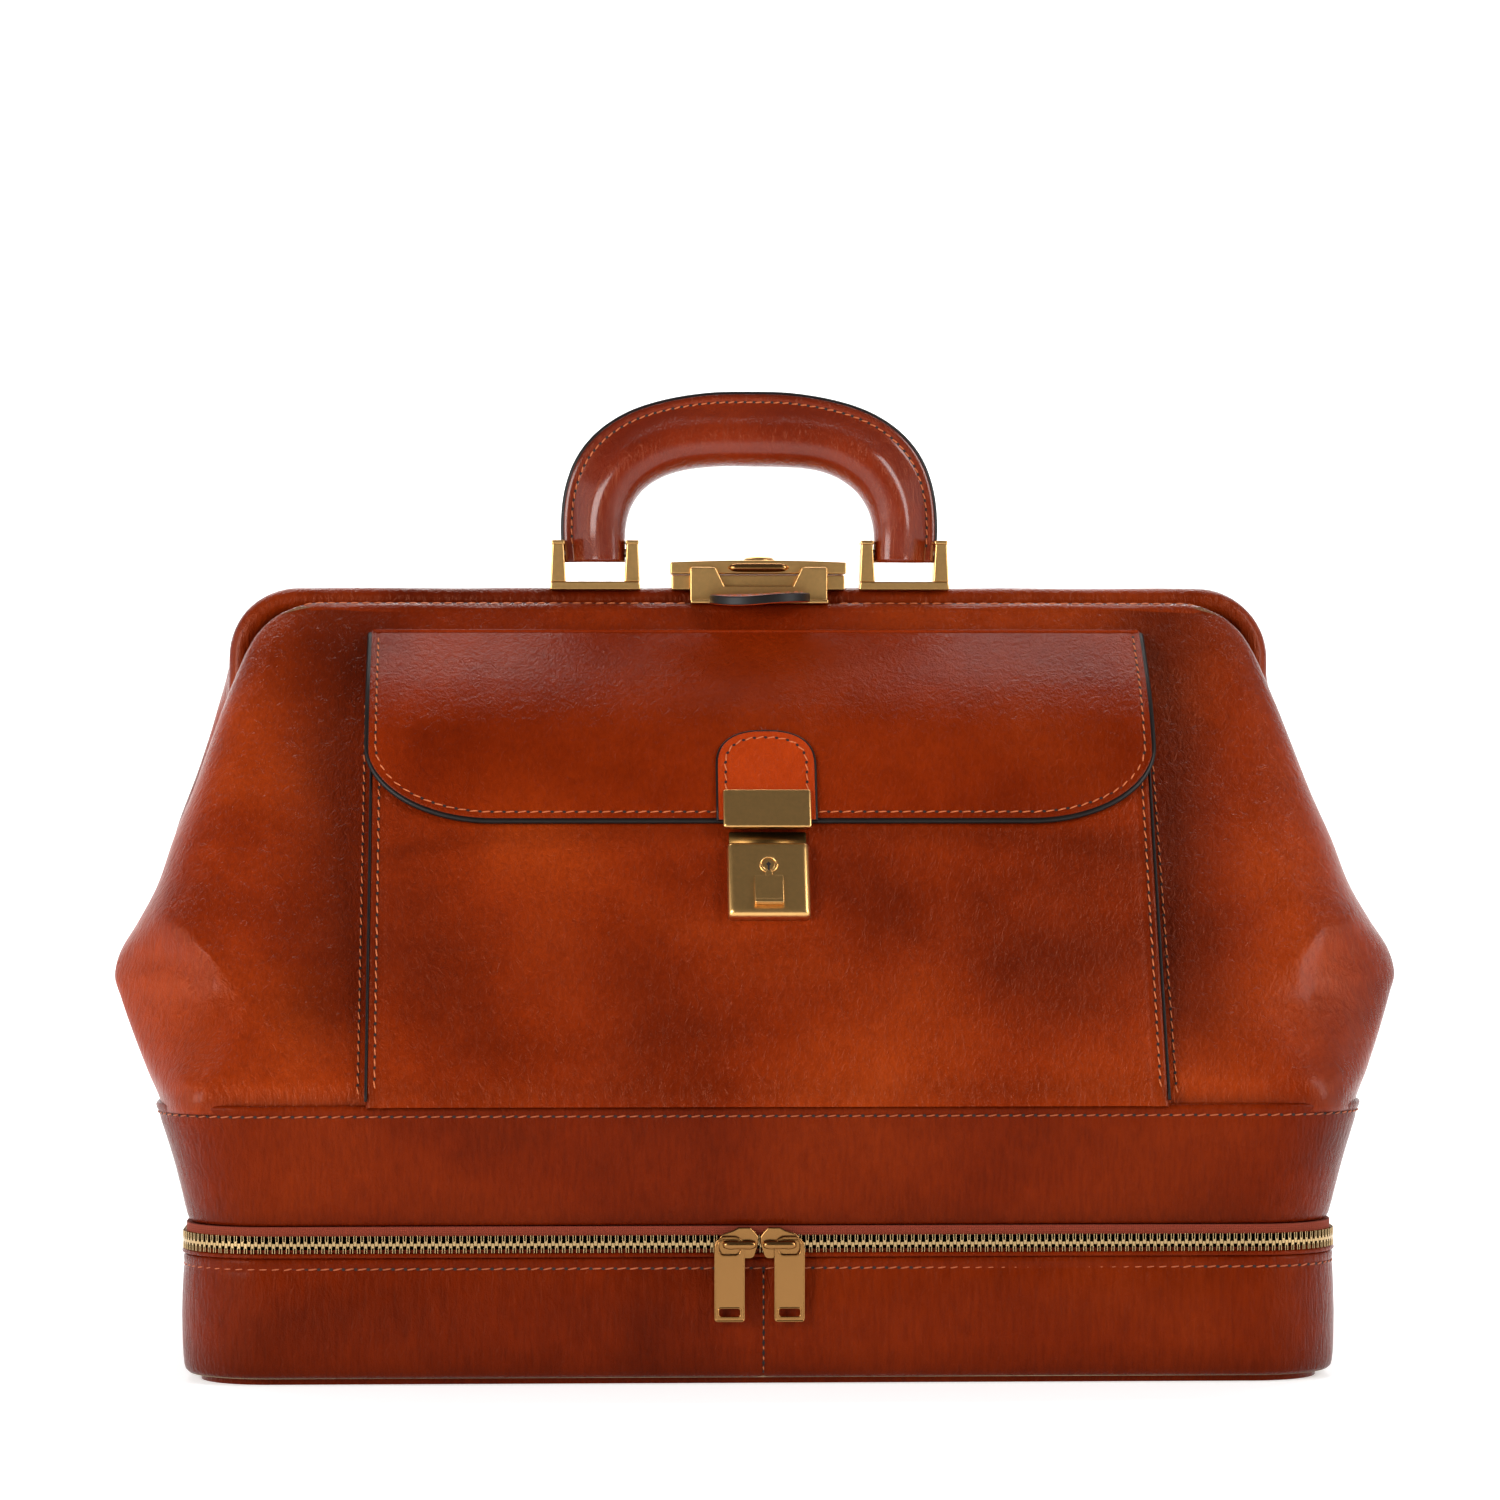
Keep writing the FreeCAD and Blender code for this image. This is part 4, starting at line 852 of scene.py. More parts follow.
def skin_shade(rows, rear):
    """How far each point is darkened: beside the pocket and towards the top, with painted shade in the folds,
    in the valleys and at the foot.
    """
    x, y, z = rows[..., 0], rows[..., 1], rows[..., 2]
    depth = y - face_y(z)
    shade = np.clip((depth - 30) / 60, 0, 0.4)
    beside = np.exp(-((np.abs(x) - 147) / 19) ** 2) * np.clip((z - 105) / 20, 0, 1) * (0 if rear else 0.5)
    shade += beside + 0.2 * np.clip((z - 232) / 20, 0, 1) * (depth < 26)
    for way in (1, -1):
        gap = polyline_distance(way * x, z, EAR_CREASE)
        shade += 0.10 * np.exp(-(gap / 5.0) ** 2) * (depth < 26)
    shade += 0.25 * np.exp(-((z - 96) / 3.5) ** 2)
    return np.clip(shade, 0, 0.8)


FRONT_BAR = (-9.0, 264.5, 175.0, 20.0)      # each jaw's top bar: depth, height, half width, corner radius
REAR_BAR = (-7.0, 270.5, 184.0, 21.0)


def build_skin(label, bar, rear):
    rows = skin_rows(bar, rear)
    if rear:
        stretch = np.clip((rows[..., 2] - 180) / 80, 0, 1)
        rows[..., 2] += stretch * 5.6
        rows[..., 1] += stretch * -1.2
        wide = np.exp(-((rows[..., 2] - 185) / 30) ** 2)
        rows[..., 0] *= 1 + 0.022 * stretch + 0.004 + 0.02 * wide
        rows[..., 2] -= 3.4 * np.exp(-(rows[..., 0] / 102) ** 4) * np.clip((rows[..., 2] - 262) / 8, 0, 1)
    shade = skin_shade(rows, rear)
    turned = rows.copy()
    if rear:
        turned[..., 0] *= -1
        turned[..., 1] *= -1
    pile = sheet_of(turned)
    skin = pile.make(f"{label}_leather", leather_main, lining, shade=shade.reshape(-1))
    thick = skin.modifiers.new("thickness", "SOLIDIFY")
    thick.thickness = 1.5 * MM
    thick.offset = -1
    thick.material_offset = 1
    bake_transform(skin)
    return skin


def bar_path(bar, foot, sign_y=1):
    """The jaw's U as points, from the left leg over the top to the right leg."""
    y, z, half, corner = bar
    flat = [(-half, height) for height in np.linspace(foot, z - corner, 12)]
    flat += ellipse_corner((-half + corner, z - corner), corner, corner, 180, 90, 16)[1:]
    flat += [(share * (half - corner), z) for share in np.linspace(-1, 1, 60)[1:]]
    flat += ellipse_corner((half - corner, z - corner), corner, corner, 90, 0, 16)[1:]
    flat += [(half, height) for height in np.linspace(z - corner, foot, 12)[1:]]
    return np.array([(x, sign_y * y * (height - PIVOT_Z) / (z - PIVOT_Z), height) for x, height in flat])


def build_roll(label, bar, sign_y):
    """The leather rolled over one jaw; gives back the path it follows."""
    path = bar_path(bar, 209.0, sign_y)
    radius = 4.35 + 0.12 * np.sin(path[:, 0] * 0.11 + path[:, 2] * 0.2)
    pile = tube(path, radius, 20, up=(0, -1, 0))
    # painted shade: the whole roll is darkened
    roll = pile.make(f"{label}_roll", leather_main, shade=[0.3] * len(pile.points))
    attach(roll, f"{label}_jaw", "leather", f"{label}_jaw_cover")
    return path


def build_webs():
    """Leather that closes the mouth's ends between each side and its jaw's leg."""
    for label, bar, sign_y in (("front", FRONT_BAR, 1), ("rear", REAR_BAR, -1)):
        y, z, half, _ = bar
        for hand, sign in (("left", -1), ("right", 1)):
            rows = []
            for height in np.linspace(204, z - 12, 18):
                leg = y * (height - PIVOT_Z) / (z - PIVOT_Z)
                near = min(face_y(height) + 9.0, leg - 2.0)
                row = []
                for share in np.linspace(0, 1, 10):
                    droop = 5.0 * sin(pi * share)
                    row.append((sign * (half - 4.6 - droop * 0.5), sign_y * (near + share * (leg - near)),
                                height))
                rows.append(row)
            # painted shade: the webs are darkened heavily, standing in for the shade in the mouth's ends
            web = sheet_of(rows).make(f"{label}_web_{hand}", leather_main, lining, shade=[0.8] * 180)
            thick = web.modifiers.new("thickness", "SOLIDIFY")
            thick.thickness = 1.2 * MM
            thick.offset = 0
            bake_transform(web)


# ------------------------------------------------------------------ pocket and flap

POCKET_X, LOCK_X = 1.5, 3.0         # the pocket and the lock stand a little to one side


def pocket_point(x, along, off):
    """Maps x, up the pocket and off the pocket to space."""
    return (x, *on_pocket(along, off))


def upright(a, b, c):
    """Maps x, height and depth to space."""
    return (a, c, b)


def build_pocket():
    """The pocket: its face with rolled edges, its side walls, and the rows of stitches beside them."""
    half = 136.5
    rows = []
    heights = np.concatenate([[-5.2, -3.0], np.linspace(0, 138, 44)])
    near = np.array([0.0, 0.3, 0.8, 1.5, 2.2, 2.9, 3.6, 4.3, 4.9, 5.6, 6.6])
    columns = np.concatenate([-half + near, np.linspace(-half + 8, half - 8, 60), (half - near)[::-1]])
    sink = [-2.0, -0.7, -0.15] + [0.0] * 8
    drop = sink + [0.0] * 60 + sink[::-1]
    shade = []
    for along in heights:
        row = []
        for x, edge in zip(columns, drop):
            crease = -0.35 * exp(-((abs(x) - half + 4.9) / 0.9) ** 2)
            line = -0.2 * exp(-((abs(x) - half + 2.9) / 0.7) ** 2)
            belly = 1.3 * cos(pi * x / (2 * half)) * sin(pi * min(1, max(0, along / 150)))
            foot = -1.0 * max(0.0, 1 - (along + 5.2) / 8)
            row.append(pocket_point(POCKET_X + x, along, 1.8 + edge + crease + line + belly + foot))
            # painted shadow under the flap's edge and painted shade at the pocket's foot; darker along the
            # side edges and around the lower third
            rim = 0.35 * exp(-((abs(x) - half) / 3.0) ** 2)
            under = 0.5 * exp(-((along - 100 + 10 * (abs(x) / half) ** 4) / 5) ** 2)
            low = 0.2 * exp(-(along / 5) ** 2) + 0.16 * exp(-((along - 48) / 32) ** 2)
            shade.append(min(0.7, rim + 0.5 * under + low))
        rows.append(row)
    front = sheet_of(rows).make("pocket_leather", leather_main, shade=shade)
    attach(front, "front_side", "leather", "pocket_front")
    for hand, sign in (("left", -1), ("right", 1)):
        edge_x = POCKET_X + sign * half
        rows = []
        for along in np.linspace(-4, 150, 40):
            low = side(2.0 + along, 0.15)
            top = on_pocket(along, 0.4)
            rows.append([(edge_x + sign * -2.4 * sin(pi * share), low[0] + share * (top[0] - low[0]),
                          low[1] + share * (top[1] - low[1])) for share in np.linspace(0, 1, 8)])
        # painted shade: the side walls are darkened, standing in for the shade between pocket and side
        wall = sheet_of(rows).make(f"pocket_side_{hand}", leather_main, shade=[0.6] * 320)
        attach(wall, "front_side", "leather", f"pocket_gusset_{hand}")
        rim = [pocket_point(edge_x, along, 1.4) for along in np.linspace(-3, 149, 60)]
        trim = tube(rim, 0.5, 8, up=(0, -1, 0)).make(f"pocket_edge_{hand}", edge_paint)
        attach(trim, "front_side", "leather")
        line = [pocket_point(POCKET_X + sign * (half - 2.9), along, 1.65 + 0.25 * sin(pi * along / 150))
                for along in np.linspace(1, 147, 60)]
        stitches(f"pocket_stitches_{hand}", line, [POCKET_NORMAL] * 60, "front_side")
        line = [(POCKET_X + sign * (half + 2.8), *side(up, 0.1)) for up in np.linspace(2, 162, 60)]
        stitches(f"pocket_seam_{hand}", line, [SIDE_NORMAL] * 60, "front_side")


FLAP_HALF = 138.0
CORNER_WIDE, CORNER_TALL = 44.0, 30.0       # the flap's elliptical lower corners


def flap_line():
    """The flap's section: (y, z) points and outward normals, with distance along it."""
    knots = [side(191.0, 0.3), side(189.0, 1.3), side(181.0, 4.2), side(172.0, 7.3), side(163.0, 10.1),
             side(154.0, 12.1), side(145.0, 13.2)]
    knots += [on_pocket(along, 2.6) for along in (132, 124, 116, 110, 106, 103.5)]
    fine, line = smooth_path(knots, 56)
    tangent = directions(line)
    return fine, line, np.column_stack([tangent[:, 1], -tangent[:, 0]])


def flap_reach(x, total):
    """How far down the flap reaches at x, with its elliptical lower corners."""
    inset = abs(x) - (FLAP_HALF - CORNER_WIDE)
    if inset <= 0:
        return total
    return total - CORNER_TALL * (1 - sqrt(max(0.0, 1 - (inset / CORNER_WIDE) ** 2)))


def build_flap():
    fine, line, normal = flap_line()
    total = fine[-1]
    across = np.concatenate([-FLAP_HALF + CORNER_WIDE * (1 - np.cos(np.linspace(0, pi / 2, 26))),
                             np.linspace(-FLAP_HALF + CORNER_WIDE, FLAP_HALF - CORNER_WIDE, 50)[1:-1],
                             FLAP_HALF - CORNER_WIDE * (1 - np.cos(np.linspace(pi / 2, 0, 26)))])

    def at(x, distance, off):
        """A point of the flap, off its underside."""
        y, z = sample(line, fine, distance)
        ny, nz = sample(normal, fine, distance)
        size = hypot(ny, nz)
        return np.array([POCKET_X + x, y + off * ny / size, z + off * nz / size])

    shares = np.linspace(0, 1, 60)
    rows, shade = [], []
    for share in shares:
        row = []
        for x in across:
            reach = flap_reach(x, total)
            distance = share * reach
            edge_gap = min(FLAP_HALF - abs(x), reach - distance)
            roll = -0.5 * exp(-(edge_gap / 0.6) ** 2)
            groove = -0.22 * exp(-((edge_gap - 3.0) / 0.6) ** 2)
            belly = 0.8 * sin(pi * min(1, distance / total)) * cos(pi * x / (2 * FLAP_HALF))
            row.append(at(x, distance, 2.3 + roll + groove + belly * 0.6))
            centre_dark = 0.14 * exp(-((x - 4) / 45) ** 2 - ((distance - total * 0.42) / 26) ** 2)
            left_dark = 0.14 * exp(-((x + 70) / 40) ** 2 - ((distance - total * 0.5) / 30) ** 2)
            right_dark = 0.24 * exp(-((x - 100) / 36) ** 2)
            shade.append(centre_dark + left_dark + right_dark + 0.18 * exp(-(edge_gap / 2.0) ** 2))
        rows.append(row)
    pile = sheet_of(rows)
    under = [at(x, share * flap_reach(x, total), 0.0) for share in shares for x in across]
    start = len(pile.points)
    columns = len(across)
    pile.add(under, [face[::-1] for face in grid_faces(60, columns)], 1)
    rim = ([row * columns for row in range(60)] + [59 * columns + column for column in range(1, columns)]
           + [row * columns + columns - 1 for row in range(58, -1, -1)])
    for first, second in zip(rim[:-1], rim[1:]):
        pile.faces.append((first, second, start + second, start + first))
        pile.slots.append(2)
    shade += [0.0] * len(under)
    flap = pile.make("flap_leather", leather_flap, lining, edge_paint, shade=shade)
    pivot, low = (Vector((0, *[value * MM for value in side(up, 0.5)])) for up in (190.0, 180.0))
    blend_to = ("pocket_flap", pivot, low)
    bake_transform(flap)
    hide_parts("flap")
    side_reach = flap_reach(FLAP_HALF, total)
    edge = [at(-FLAP_HALF, share * side_reach, 1.2) for share in np.linspace(0.02, 1, 40)]
    edge += [at(x, flap_reach(x, total), 1.2) for x in across[1:-1]]
    edge += [at(FLAP_HALF, share * side_reach, 1.2) for share in np.linspace(1, 0.02, 40)]
    trim = tube(edge, 1.05, 10, up=(0, -0.87, 0.48)).make("flap_edge", edge_paint)
    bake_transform(trim)
    inset = 3.0
    wide = CORNER_WIDE - inset
    path = [at(-FLAP_HALF + inset, distance, 2.2) for distance in np.linspace(4, side_reach, 50)]
    for t in np.linspace(0, 1, 140)[1:-1]:
        x = (-FLAP_HALF + inset) * cos(pi * t)
        gap = abs(x) - (FLAP_HALF - CORNER_WIDE)
        reach = total - inset
        if gap > 0:
            reach -= (CORNER_TALL - inset) * (1 - sqrt(max(0.0, 1 - (gap / wide) ** 2)))
        path.append(at(x, reach, 2.2))
    path += [at(FLAP_HALF - inset, distance, 2.2) for distance in np.linspace(side_reach, 4, 50)]
    out = []
    for spot in path:
        index = int(np.argmin(np.hypot(line[:, 0] - spot[1], line[:, 1] - spot[2])))
        out.append((0, normal[index, 0], normal[index, 1]))
    stitches("flap_stitches", path, out, "front_side", blend_to=blend_to,
             skip=lambda spot: abs(spot[0] - LOCK_X) < 17.5 and spot[2] < 205)
    welt = tube([at(x, 0.6, 2.2) for x in np.linspace(-FLAP_HALF + 1, FLAP_HALF - 1, 40)], 0.8, 8,
                up=(0, -1, 0)).make("flap_top_edge", leather_flap)
    attach(welt, "front_side", "leather")


def build_tongue():
    half = 17.0

    def arch_points(wide, tall, steps):
        """A flattened arch over the tongue's end."""
        turns = np.linspace(0, pi, steps)
        return [(LOCK_X + wide * copysign(abs(cos(a)) ** 0.8, cos(a)),
                 123.9 + tall * sin(a) ** 0.8) for a in turns]

    arc = arch_points(half, 14.0, 25)
    outline = [(LOCK_X + half, 102.5)] + arc + [(LOCK_X - half, 102.5)]
    flat = prism_of(outline, 4.9, 6.5, pocket_point, slots=(0, 1, 1))
    tongue = flat.make("tongue_leather", leather_tongue, edge_paint)
    soften(tongue, 0.45, 2)
    attach(tongue, "pocket_flap", "tongue_leather", "flap_tongue")
    rim = [pocket_point(a, b, 5.7) for a, b in outline]
    dense = []
    for first, second in zip(rim[:-1], rim[1:]):
        for share in np.linspace(0, 1, 4, endpoint=False):
            dense.append(tuple(np.array(first) * (1 - share) + np.array(second) * share))
    dense.append(rim[-1])
    trim = tube(dense, 0.7, 8, up=tuple(POCKET_NORMAL)).make("tongue_edge", edge_paint)
    attach(trim, "pocket_flap", "tongue_leather")
    inner = [(LOCK_X + 14.2, 113.5), (LOCK_X + 14.2, 118)]
    inner += arch_points(half - 2.8, 11.3, 31)
    inner += [(LOCK_X - 14.2, 118), (LOCK_X - 14.2, 113.5)]
    stitches("tongue_stitches", [pocket_point(a, b, 6.5) for a, b in inner], [POCKET_NORMAL] * len(inner),
             "pocket_flap", pitch=3.9, slant=14)


def cushion_plate(half, low, high, radius, profile):
    """A plate on the pocket whose edge rolls over: each step of the profile is (off, inset)."""
    rows = []
    for off, inset in profile:
        outline = rounded_outline(LOCK_X - half + inset, LOCK_X + half - inset, low + inset, high - inset,
                                  radius, 4)
        rows.append([pocket_point(a, b, off) for a, b in outline])
    pile = sheet_of(rows, wrap=True)
    pile.close_ends(len(rows), len(rows[0]))
    return pile


def lock_prism(half, low, high, radius, steps, under, over):
    """A flat plate with rounded corners, centred on the lock."""
    outline = rounded_outline(LOCK_X - half, LOCK_X + half, low, high, radius, steps)
    return prism_of(outline, under, over, pocket_point)


def build_pocket_lock():
    edge = [(6.6, 0.0), (8.05, 0.0), (8.35, 0.14), (8.52, 0.38), (8.6, 0.7), (8.6, 0.95)]
    plate = cushion_plate(15.3, 98.7, 113.5, 0.8, edge).make("hasp_plate", brass)
    attach(plate, "pocket_flap", "brass", "flap_hasp")
    lip = Pile()
    # painted shade: the recessed band between hasp and lock is in the darker copy of the brass
    lip.join(lock_prism(13.4, 92.0, 98.6, 0.4, 2, 1.8, 4.6), 1)
    edge = [(1.8, 0.0), (5.8, 0.0), (6.7, 0.25), (7.3, 0.75), (7.65, 1.35), (7.8, 2.1), (7.8, 2.4)]
    lip.join(cushion_plate(14.2, 64.6, 93.4, 1.4, edge))
    lock = lip.make("pocket_lock_case", brass, brass_painted_shade)
    attach(lock, "front_side", "brass", "pocket_lock_body")
    ring_path = [pocket_point(LOCK_X + 2.9 * cos(a), 84.2 + 2.9 * sin(a), 7.8)
                 for a in np.linspace(0, 2 * pi, 33)]
    collar = tube(ring_path, 0.42, 8, up=tuple(POCKET_NORMAL), cap=False).make("key_collar", brass)
    attach(collar, "front_side", "brass")
    barrel = prism_of(ellipse_corner((LOCK_X, 84.2), 2.3, 2.3, 0, 345, 24), 6.2, 7.95, pocket_point)
    core = barrel.make("key_core", brass)
    soften(core, 0.25, 2)
    attach(core, "key", "brass", "lock_cylinder")
    # painted shade: the keyway is a thin dark plate standing in for the slot's shadow
    way = prism_of([(LOCK_X - 0.35, 80.4), (LOCK_X + 0.35, 80.4), (LOCK_X + 0.35, 83.6), (LOCK_X + 0.9, 84.2),
                    (LOCK_X, 85.2), (LOCK_X - 0.9, 84.2), (LOCK_X - 0.35, 83.6)], 7.6, 8.02, pocket_point)
    slit = way.make("key_way", keyhole, smooth=False)
    attach(slit, "key", "brass")
    pile = lock_prism(5.0, 68.2, 79.4, 0.6, 3, 7.9, 9.3)
    pile.join(lock_prism(1.3, 79.0, 81.5, 0.4, 2, 7.7, 8.5))
    pile.join(lock_prism(5.0, 68.2, 69.8, 0.4, 2, 9.3, 10.3))
    knob = pile.make("thumb_knob", brass)
    soften(knob, 0.5, 3)
    attach(knob, "thumb", "brass", "thumb_slide")


# ------------------------------------------------------------------ mouth frame, lock and handle

def build_top_lock():
    """Lock case, button, strike plate and pull tab."""
    low = prism_of([(-28.3, 273.9), (34.3, 273.9), (34.3, 279.3), (-28.3, 279.3)], -0.4, 17.0, upright)
    crown = [(34.8, 279.7)] + [(LOCK_X + t * 31.8, 284.0 + 0.7 * (1 - t * t)) for t in np.linspace(1, -1, 17)]
    crown.append((-28.8, 279.7))
    low.join(prism_of(crown, -1.0, 17.0, upright))
    case = low.make("lock_case_body", brass)
    soften(case, 0.5, 3)
    attach(case, "rear_jaw", "brass", "lock_case")
    shares = np.linspace(-1, 1, 15)
    size = [0.3 + 1.4 * sqrt(max(0.0, 1 - abs(share) ** 6)) for share in shares]
    pill = tube([(LOCK_X + share * 11.0, -1.0, 282.0) for share in shares], size, 12, up=(0, 0, 1))
    bar = pill.make("button_bar", zip_brass)
    attach(bar, "rear_jaw", "brass")
    rows = []
    for ring, rise in ((5.8, 0.0), (5.7, 0.9), (5.2, 1.7), (4.2, 2.2), (2.6, 2.5), (0.9, 2.6)):
        rows.append([(LOCK_X + 0.5 + ring * cos(a), 6.7 + ring * sin(a), 283.9 + rise)
                     for a in np.linspace(0, 2 * pi, 40, endpoint=False)])
    dome = sheet_of(rows, wrap=True)
    dome.faces.append(tuple(range(200, 240)))
    dome.slots.append(0)
    button = dome.make("button_dome", brass)
    attach(button, "top_button", "brass", "lock_button")
    left, right = LOCK_X - 24.8, LOCK_X + 24.8
    web = [(left, 268.9), (right, 268.9), (right, 281.9), (right - 9.2, 281.9), (right - 12.4, 275.3),
           (left + 12.4, 275.3), (left + 9.2, 281.9), (left, 281.9)]
    strike = prism_of(web, -5.2, -2.6, upright)
    for x in (left + 4.3, right - 4.3):
        rounded_box((8.0, 3.4, 2.4), (x, -2.6, 281.0), pile=strike)
    rounded_box((49.6, 8.8, 1.4), (LOCK_X, -8.4, 269.4), pile=strike)
    plate = strike.make("strike", brass)
    soften(plate, 0.5, 3)
    attach(plate, "front_jaw", "brass", "strike_plate")
    reach = ellipse_corner((LOCK_X, -15.0), 18.0, 13.0, 180, 360, 28)
    outline = [(LOCK_X + 18.0, -10.0), (LOCK_X - 18.0, -10.0)] + reach

    def droop(a, b, c):
        return (a, b, c - 0.030 * max(0.0, -15 - b) ** 1.3 + 0.6 * sin((a - LOCK_X) / 7))

    flat = prism_of(outline, 268.8, 272.2, droop, slots=(0, 0, 1))
    leather_tab = flat.make("tab_leather", leather_tongue, edge_paint)
    soften(leather_tab, 0.6, 3)
    attach(leather_tab, "front_jaw", "tab_leather", "pull_tab")
    rim = [droop(a, b, 272.3) for a, b in ellipse_corner((LOCK_X, -15.0), 15.4, 10.4, 184, 356, 30)]
    stitches("tab_stitches", rim, [(0, 0, 1)] * 30, "front_jaw", pitch=3.8)


def build_brackets():
    for hand, centre in (("left", -56.0), ("right", 56.0)):
        pile = prism_of([(centre - 16.4, 273.9), (centre + 16.4, 273.9), (centre + 16.0, 277.0),
                         (centre - 16.0, 277.0)], 0.0, 14.0, upright)
        for sign in (-1, 1):
            inner, outer = centre + sign * 11.2, centre + sign * 16.2
            post = [(outer, 276.8), (centre + sign * 15.5, 291.6), (centre + sign * 11.4, 291.6),
                    (inner - sign * 0.6, 276.8)][::sign]
            pile.join(prism_of(post, 1.0, 13.0, upright))
            cap = [(centre + sign * 15.8, 290.4), (centre + sign * 15.8, 292.0),
                   (centre + sign * 11.0, 292.0), (centre + sign * 11.0, 290.4)][::sign]
            pile.join(prism_of(cap, 0.7, 13.3, upright))
        bracket = pile.make(f"bracket_{hand}", brass)
        soften(bracket, 0.55, 3)
        attach(bracket, "rear_jaw", "brass", f"handle_bracket_{hand}")


HANDLE_Y = 7.0
HANDLE_OUTER = [(0, 345.3), (16, 344.8), (31, 342.2), (43, 338.4), (52.7, 332.5), (60.9, 323.9),
                (65.2, 314.1), (67.3, 302.3), (67.4, 292), (67.0, 284.1)]
HANDLE_INNER = [(0, 318.8), (13.5, 318.6), (25, 317.2), (33.1, 314.1), (39, 309.6), (42.7, 304.1),
                (44.5, 298.6), (45.1, 292), (45.1, 284.1)]


def handle_outline(half):
    """A smooth arch through the points of its right half."""
    return smooth_path([(-x, z) for x, z in half[:0:-1]] + half, 400)[1]


def resample(points, count):
    """The same path with evenly spaced points."""
    lengths = run_lengths(points)
    return sample(points, lengths, np.linspace(0, lengths[-1], count)).T


def handle_point(spot, way, ahead, aside=0.0):
    """A point of the handle's section: outward from its centre line, and to the front or the rear."""
    return (spot[0] + way[0] * ahead, HANDLE_Y + aside, spot[1] + way[1] * ahead)


def build_handle():
    """The padded grip: a stuffed roll that runs out into a stitched flange."""
    count = 120
    inner = resample(handle_outline(HANDLE_INNER), count)
    tangent = directions(inner)
    sizes = 7.9 + 1.9 * np.clip((inner[:, 1] - 286) / 26, 0, 1)
    centre = inner + np.column_stack([-tangent[:, 1], tangent[:, 0]]) * sizes[:, None]
    tangent = directions(centre)
    outward = np.column_stack([-tangent[:, 1], tangent[:, 0]])
    reach = []
    fine = resample(handle_outline(HANDLE_OUTER), 900)
    for spot, way in zip(centre, outward):
        gap = fine - spot
        off = np.abs(gap @ np.array([-way[1], way[0]]))
        ahead = gap @ way
        reach.append(ahead[np.argmin(np.where(ahead > 0, off, 1e9))])
    reach = np.convolve(np.pad(reach, 3, mode="edge"), np.ones(7) / 7, mode="valid")
    half_flange = 1.7
    rows, shade = [], []
    for index, (spot, way) in enumerate(zip(centre, outward)):
        full = sizes[index] * (1 + 0.01 * sin(index * 0.21))
        tip = reach[index]
        neck = full * 1.06
        ring = [(full * cos(a), full * sin(a) * 0.97) for a in map(radians, np.linspace(38, 322, 30))]
        flare = [(neck + 1.2, half_flange + 1.0), (tip - 3.6, half_flange + 0.05),
                 (tip - 3.0, half_flange - 0.15), (tip - 2.2, half_flange + 0.05), (tip - 0.5, half_flange),
                 (tip, half_flange * 0.55)]
        section = flare[::-1] + ring + [(a, -b) for a, b in flare]
        rows.append([handle_point(spot, way, a, b) for a, b in section])
        shade += [0.55 if a > tip - 1.0 else (0.12 if a > neck else 0.0) for a, _ in section]
    pile = sheet_of(rows, wrap=True)
    pile.close_ends(count, len(rows[0]))
    handle = pile.make("handle_leather", leather_handle, shade=shade)
    attach(handle, "handle", "leather", "handle_cover")
    rim = [handle_point(spot, way, tip - 0.2) for spot, way, tip in zip(centre, outward, reach)]
    trim = tube(rim, 1.15, 10, up=(0, -1, 0)).make("handle_edge", edge_paint)
    attach(trim, "handle", "leather")
    for label, way_y in (("front", -1), ("rear", 1)):
        path = [handle_point(spot, way, tip - 3.1, way_y * (half_flange - 0.05))
                for spot, way, tip in zip(centre, outward, reach)][6:-6]
        stitches(f"handle_stitches_{label}", path, [(0, way_y, 0)] * len(path), "handle", pitch=3.3)


# ------------------------------------------------------------------ the whole bag

build_base()
build_band()
build_teeth()
for side_label, slider_centre, slider_way in (("left", -8.7, 1), ("right", 5.7, -1)):
    build_slider(side_label, slider_centre, slider_way)
    build_pull(side_label, slider_centre - slider_way * 3.0)
front_skin = build_skin("front", FRONT_BAR, False)
rear_skin = build_skin("rear", REAR_BAR, True)
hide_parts("front_panel", "gusset_left", "gusset_right")
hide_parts("rear_panel")
front_path = build_roll("front", FRONT_BAR, 1)
build_roll("rear", REAR_BAR, -1)
build_webs()
top = front_path[(np.abs(front_path[:, 0]) < 172) & (front_path[:, 2] > 250)]
tilt = radians(12)
lift = np.array([0, -sin(tilt), cos(tilt)])
stitches("mouth_stitches", top + lift * 4.4, [lift] * len(top), "front_side",
         skip=lambda spot: abs(spot[0] - LOCK_X) < 27)
build_pocket()
build_flap()
build_tongue()
build_pocket_lock()
build_top_lock()
build_brackets()
build_handle()

CAD_LOOKS = (
    (sole, "base_bottom_leather"),
    (leather_base, "bottom_piping rear_hinge_strip"),
    (board, "base_board base_wall_stiffener waist_stiffener floor_board front_board rear_board"),
    (lining, "base_lining waist_lining floor_lining front_lining rear_lining"),
    (tape, "zip_tape_lower zip_tape_upper"),
    (brass, "pocket_lock_backplate flap_rivets"),
    (steel, "front_jaw_frame rear_jaw_frame frame_hinge_pins bracket_screws handle_core handle_pins"),
)
for material, node in ((look, name) for look, names in CAD_LOOKS for name in names.split()):
    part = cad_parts[node]
    part.data.materials.clear()
    part.data.materials.append(material)


# ------------------------------------------------------------------ studio

def softbox(name, place, target, width, height, power, colour=(1, 1, 1)):
    light = bpy.data.lights.new(name, "AREA")
    light.shape = "RECTANGLE"
    light.size, light.size_y = width, height
    light.energy = power
    light.color = colour
    lamp = new_object(name, light)
    lamp.location = place
    lamp.rotation_euler = (Vector(target) - Vector(place)).to_track_quat("-Z", "Y").to_euler()


